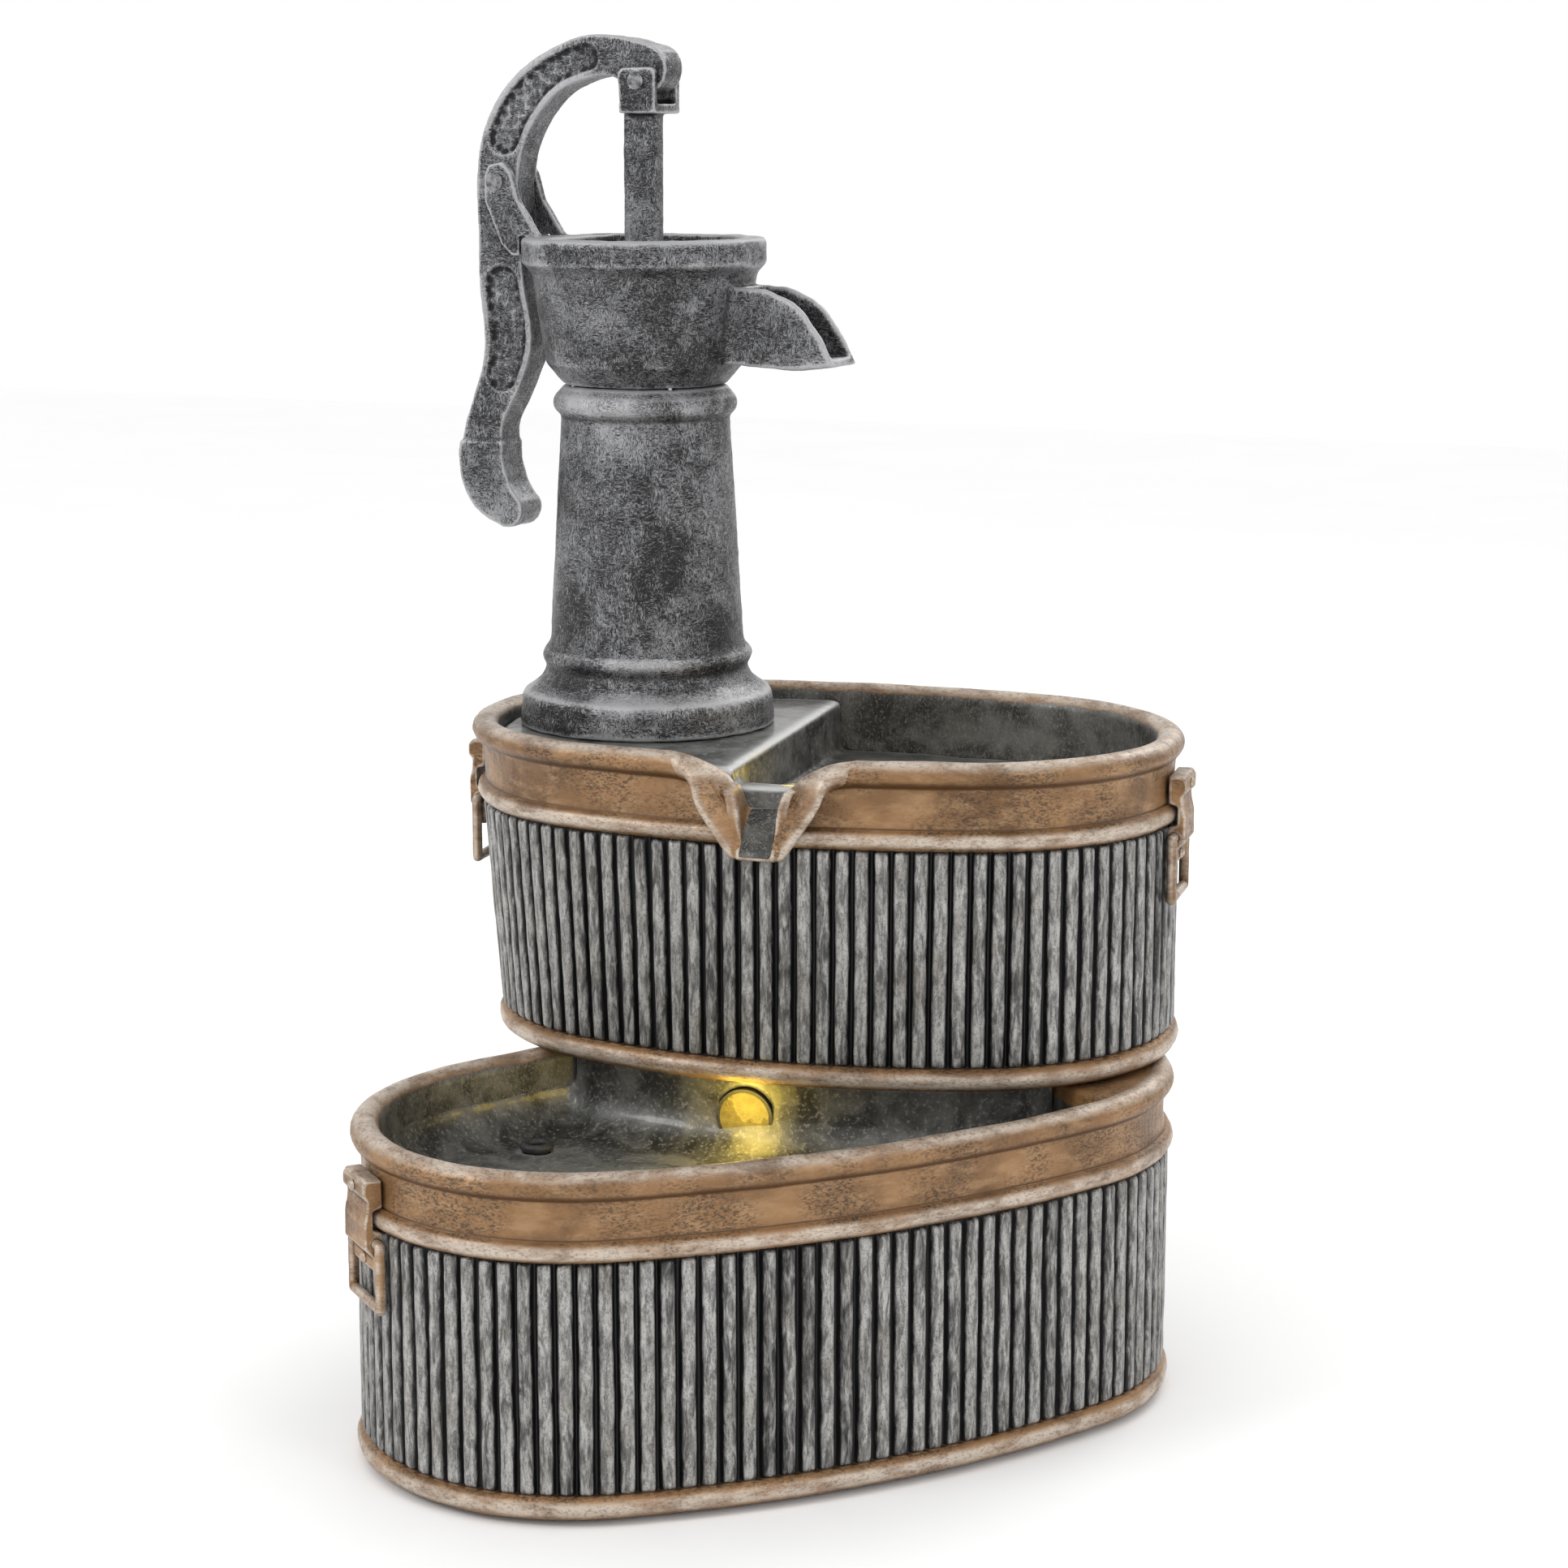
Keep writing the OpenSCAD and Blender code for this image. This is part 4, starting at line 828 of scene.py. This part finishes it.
def shelf():
    """The shelf at the end of the lower basin, which carries the upper tub."""
    points, normals, _ = oval(LOWER_PLAN, np.linspace(-0.2, 0.2, 161))
    outline = (points - SHELF_INSET * normals)[points[:, 0] > SHELF_X]
    levels = [np.full(len(outline), LOWER_RIM_Z - drop) for drop in SHELF_DROPS]
    top = ring_solid("top", [np.c_[outline, level] for level in levels])
    low, high = TRAY_TOP - 8, LOWER_RIM_Z - 2
    side = [(-SHELF_HALF, low), (SHELF_HALF, low), (SHELF_HALF, high), (-SHELF_HALF, high)]
    wall = extruded("wall", side, SHELF_X, SHELF_X + SHELF_WALL, 0)
    obj = joined("shelf", [top, wall])
    cast(obj, voxel=1.6, rounds=4, grain=0.3, grain_size=14, seed=35)
    drop_values(obj, "wear_and_top_light")
    points = points_of(obj)
    set_values(obj, "high", np.full(len(points), 0.5))
    set_values(obj, "band", np.ones(len(points)))
    set_values(obj, "inside", smoothstep(LOWER_RIM_Z - 8, LOWER_RIM_Z - 16, points[:, 2]))
    return obj


def make_tubs():
    """Both tubs, each made in its own place and then turned and moved."""
    lower = tub("lower_tub_shell", LOWER_PLAN, taper=0, height=LOWER_RIM_Z, foot=PAD_H,
                foot_middle=10, band_middle=153, base_z=0, notch=False, seed=3)
    lower = joined("lower_tub_shell", [lower, shelf()])
    smooth_shading(lower)
    finish_piece(place(lower, LOWER_ANGLE), TUB, "lower_tub")
    height = RIM_Z - UPPER_Z
    upper = tub("upper_tub_shell", UPPER_PLAN, taper=TAPER, height=height, foot=0,
                foot_middle=6.5, band_middle=height - 45, base_z=UPPER_Z, notch=True, seed=8)
    whole = joined("upper_tub_shell", [upper, pouring_lip()])
    smooth_shading(whole)
    finish_piece(place(whole, UPPER_ANGLE, UPPER), TUB, "upper_tub")


make_tubs()

# ---------------------------------------------------------------- basins

FILLET = 24                                     # radius where a basin's walls meet its floor
RING_POINTS = 160                               # points round a tub's plan


def plan_rings(plan, profile, angle, centre):
    """Rings round a tub's plan, one for each depth and height."""
    points, normals, _ = oval(plan, np.arange(RING_POINTS) / RING_POINTS)
    return [turned(np.c_[points + normals * d, np.full(RING_POINTS, z)], angle, centre)
            for d, z in profile]


def oval_ring(plan, profile, angle, centre):
    """A closed profile (depth, height) carried round a tub's plan."""
    rings = np.array(plan_rings(plan, profile, angle, centre))
    return new_mesh("ring", rings.reshape(-1, 3), ring_loop_faces(len(rings), RING_POINTS))


def ring_loop_faces(rows, count):
    """Quads between closed rings of count points, and from the last ring back to the first."""
    faces = ring_faces(rows, count, caps=False)
    i = np.arange(count)
    j = (i + 1) % count
    last = (rows - 1) * count
    return faces + np.stack([last + i, last + j, j, i], 1).tolist()


def fillet(wall_d, out, floor_z, radius):
    """Profile of a hollow corner from a wall at wall_d to a floor, on the out side (1 or -1)."""
    turns = np.radians(np.linspace(0, 90, 8))
    bow = [(wall_d + out * radius * (1 - math.sin(t)), floor_z + radius * (1 - math.cos(t)))
           for t in turns]
    return [(wall_d - out * 3, floor_z - 4), (wall_d + out * radius, floor_z - 4)] + bow + [
        (wall_d - out * 3, floor_z + radius)]


def keep_inside(obj, plan, d, angle, centre, low, high):
    """Cuts away what lies outside a tub's plan."""
    cutter = ring_solid("cutter", plan_rings(plan, [(d, low), (d, high)], angle, centre))
    weld(obj)
    weld(cutter)
    cut = obj.modifiers.new("cut", "BOOLEAN")
    cut.operation = "INTERSECT"
    cut.solver = "EXACT"
    cut.object = cutter
    apply_modifiers(obj)
    bpy.data.objects.remove(cutter)


def make_basins():
    """The lower basin's tray with rounded corners, and the deck of the pool in the upper tub."""
    foot_plan = (UPPER_PLAN[0] - TAPER / 2, UPPER_PLAN[1] + 3, UPPER_PLAN[2])
    foot_centre = turned([[TAPER / 2, 0]], UPPER_ANGLE, UPPER)[0]
    inner = oval_ring(LOWER_PLAN, fillet(WALL_D - 0.5, -1, TRAY_TOP, FILLET), LOWER_ANGLE, (0, 0))
    rear = oval_ring(foot_plan, fillet(-22, 1, TRAY_TOP, FILLET), UPPER_ANGLE, foot_centre)
    keep_inside(rear, LOWER_PLAN, WALL_D - 1, LOWER_ANGLE, (0, 0), TRAY_TOP - 20, LOWER_RIM_Z)
    tray = joined("basin_tray_cast", [copy_of("basin_tray"), inner, rear])
    cast(tray, voxel=2.0, rounds=6, grain=0.35, grain_size=22, seed=41)
    finish_piece(tray, RESIN, "basin_tray")
    deck = copy_of("pool_deck")
    cast(deck, voxel=1.8, rounds=9, grain=0.3, grain_size=18, seed=43)
    finish_piece(deck, RESIN, "pool_deck")


make_basins()

# ---------------------------------------------------------------- pump, handle and rings

HAMMER = 5.2                                    # spacing of the hammer marks in the handle's panels
PANEL_IN, PANEL_OUT = (9, 9.5), (10.9, 10.4)    # edges of a panel's floor, from the middle plane
MARK_DEPTH = 1.5


def pits(x, z, spacing, seed):
    """Hammer marks: 0 in the middle of a mark, rising to 1 between marks."""
    cx, cz = np.floor(x / spacing).astype(np.int64), np.floor(z / spacing).astype(np.int64)
    nearest = np.full(len(x), 9.0)
    for dx in (-1, 0, 1):
        for dz in (-1, 0, 1):
            ix, iz = cx + dx, cz + dz
            px = (ix + 0.5 + 0.36 * lattice(ix, iz, ix, seed)) * spacing
            pz = (iz + 0.5 + 0.36 * lattice(ix, iz, iz, seed + 1)) * spacing
            nearest = np.minimum(nearest, np.hypot(x - px, z - pz) / spacing)
    return np.clip(nearest / 0.6, 0, 1) ** 2


def hammered(obj):
    """Sinks round marks into the recessed panels in the handle's sides."""
    points = points_of(obj)
    normals = normals_of(obj)
    side = np.abs(points[:, 1] - PUMP[1])
    facing = smoothstep(0.7, 0.95, np.abs(normals[:, 1]))
    panel = smoothstep(*PANEL_IN, side) * smoothstep(*PANEL_OUT, side) * facing
    marks = pits(points[:, 0], points[:, 2], HAMMER, 77)
    move_points(obj, points + normals * (panel * (MARK_DEPTH * marks - 0.8))[:, None])
    wear_and_top_light = values_of(obj, "wear_and_top_light") + panel * (0.55 * marks - 0.3)
    obj.data.attributes["wear_and_top_light"].data.foreach_set("value", wear_and_top_light.astype(np.float32))


# Node, material, voxel, rounds of smoothing, grain, its size, and seed
CASTINGS = [
    ("pump_column", IRON, 1.3, 6, 0.35, 12, 50),
    ("pump_bowl", IRON, 1.1, 6, 0.35, 12, 51),
    ("bowl_plate", IRON, 1.2, 2, 0.2, 8, 52),
    ("handle", IRON, 0.9, 5, 0.3, 9, 53),
    ("handle_bearer", IRON, 0.8, 5, 0.25, 8, 54),
    ("pump_rod", IRON, 0.9, 5, 0.3, 9, 55),
    ("drop_ring_upper_right", BRONZE, 0.6, 1, 0.1, 6, 70),
    ("drop_ring_upper_left", BRONZE, 0.6, 1, 0.1, 6, 71),
    ("drop_ring_lower_front", BRONZE, 0.6, 1, 0.1, 6, 72),
    ("drop_ring_lower_rear", BRONZE, 0.6, 1, 0.1, 6, 73),
    ("ring_straps", BRONZE, 0.7, 3, 0.12, 8, 80),
    ("strap_rivets", BRONZE, 0.4, 1, 0.05, 4, 81),
]


def make_castings():
    """The pump's castings and the tubs' metal fittings."""
    for node, material, *settings in CASTINGS:
        piece = copy_of(node)
        cast(piece, *settings)
        if node == "handle":
            hammered(piece)
        finish_piece(piece, material, node)


make_castings()

# ---------------------------------------------------------------- floor and light


def make_stage():
    side = 6000
    corners = [(-side, -side, 0), (side, -side, 0), (side, side, 0), (-side, side, 0)]
    floor = new_mesh("floor", corners, [[0, 1, 2, 3]])
    pale = simple("floor_pale", (0.97, 0.97, 0.97), (0.985, 0.985, 0.985), 300, 0.8)
    floor.data.materials.append(pale)


AIM_M = Vector((0, 0, 0.4))                     # what the studio lights point at
GLOW_COLOUR = (1, 0.72, 0.1)


def area_light(name, at_m, size_m, power):
    """A round white studio light."""
    data = bpy.data.lights.new(name, "AREA")
    data.shape = "DISK"
    data.size = size_m
    data.energy = power
    lamp = bpy.data.objects.new(name, data)
    lamp.location = at_m
    aim = AIM_M - lamp.location
    lamp.rotation_euler = aim.to_track_quat("-Z", "Y").to_euler()
    bpy.context.scene.collection.objects.link(lamp)


def glow(name, across, z, power, size):
    """The light of a lamp in a basin, placed across from the upper tub's centre at height z."""
    data = bpy.data.lights.new(name, "POINT")
    data.energy = power
    data.color = GLOW_COLOUR
    data.shadow_soft_size = size * MM
    lamp = bpy.data.objects.new(name, data)
    lamp.location = Vector((*turned([across], UPPER_ANGLE, UPPER)[0], z)) * MM
    bpy.context.scene.collection.objects.link(lamp)


make_stage()
world = bpy.data.worlds.new("studio")
world.use_nodes = True
world.node_tree.nodes["Background"].inputs["Color"].default_value = (1, 1, 1, 1)
world.node_tree.nodes["Background"].inputs["Strength"].default_value = 1.0
bpy.context.scene.world = world
bpy.context.scene.view_settings.view_transform = "Standard"
area_light("key", (-1.6, -1.9, 1.9), 0.9, 21)
area_light("fill", (2.4, -1.2, 1.3), 0.9, 10)
area_light("back", (0.6, 2.4, 2.2), 1.4, 16)
glow("basin_glow", (-14, -138), 178, 0.13, 20)
glow("pool_glow", (8, -66), 362, 0.04, 16)
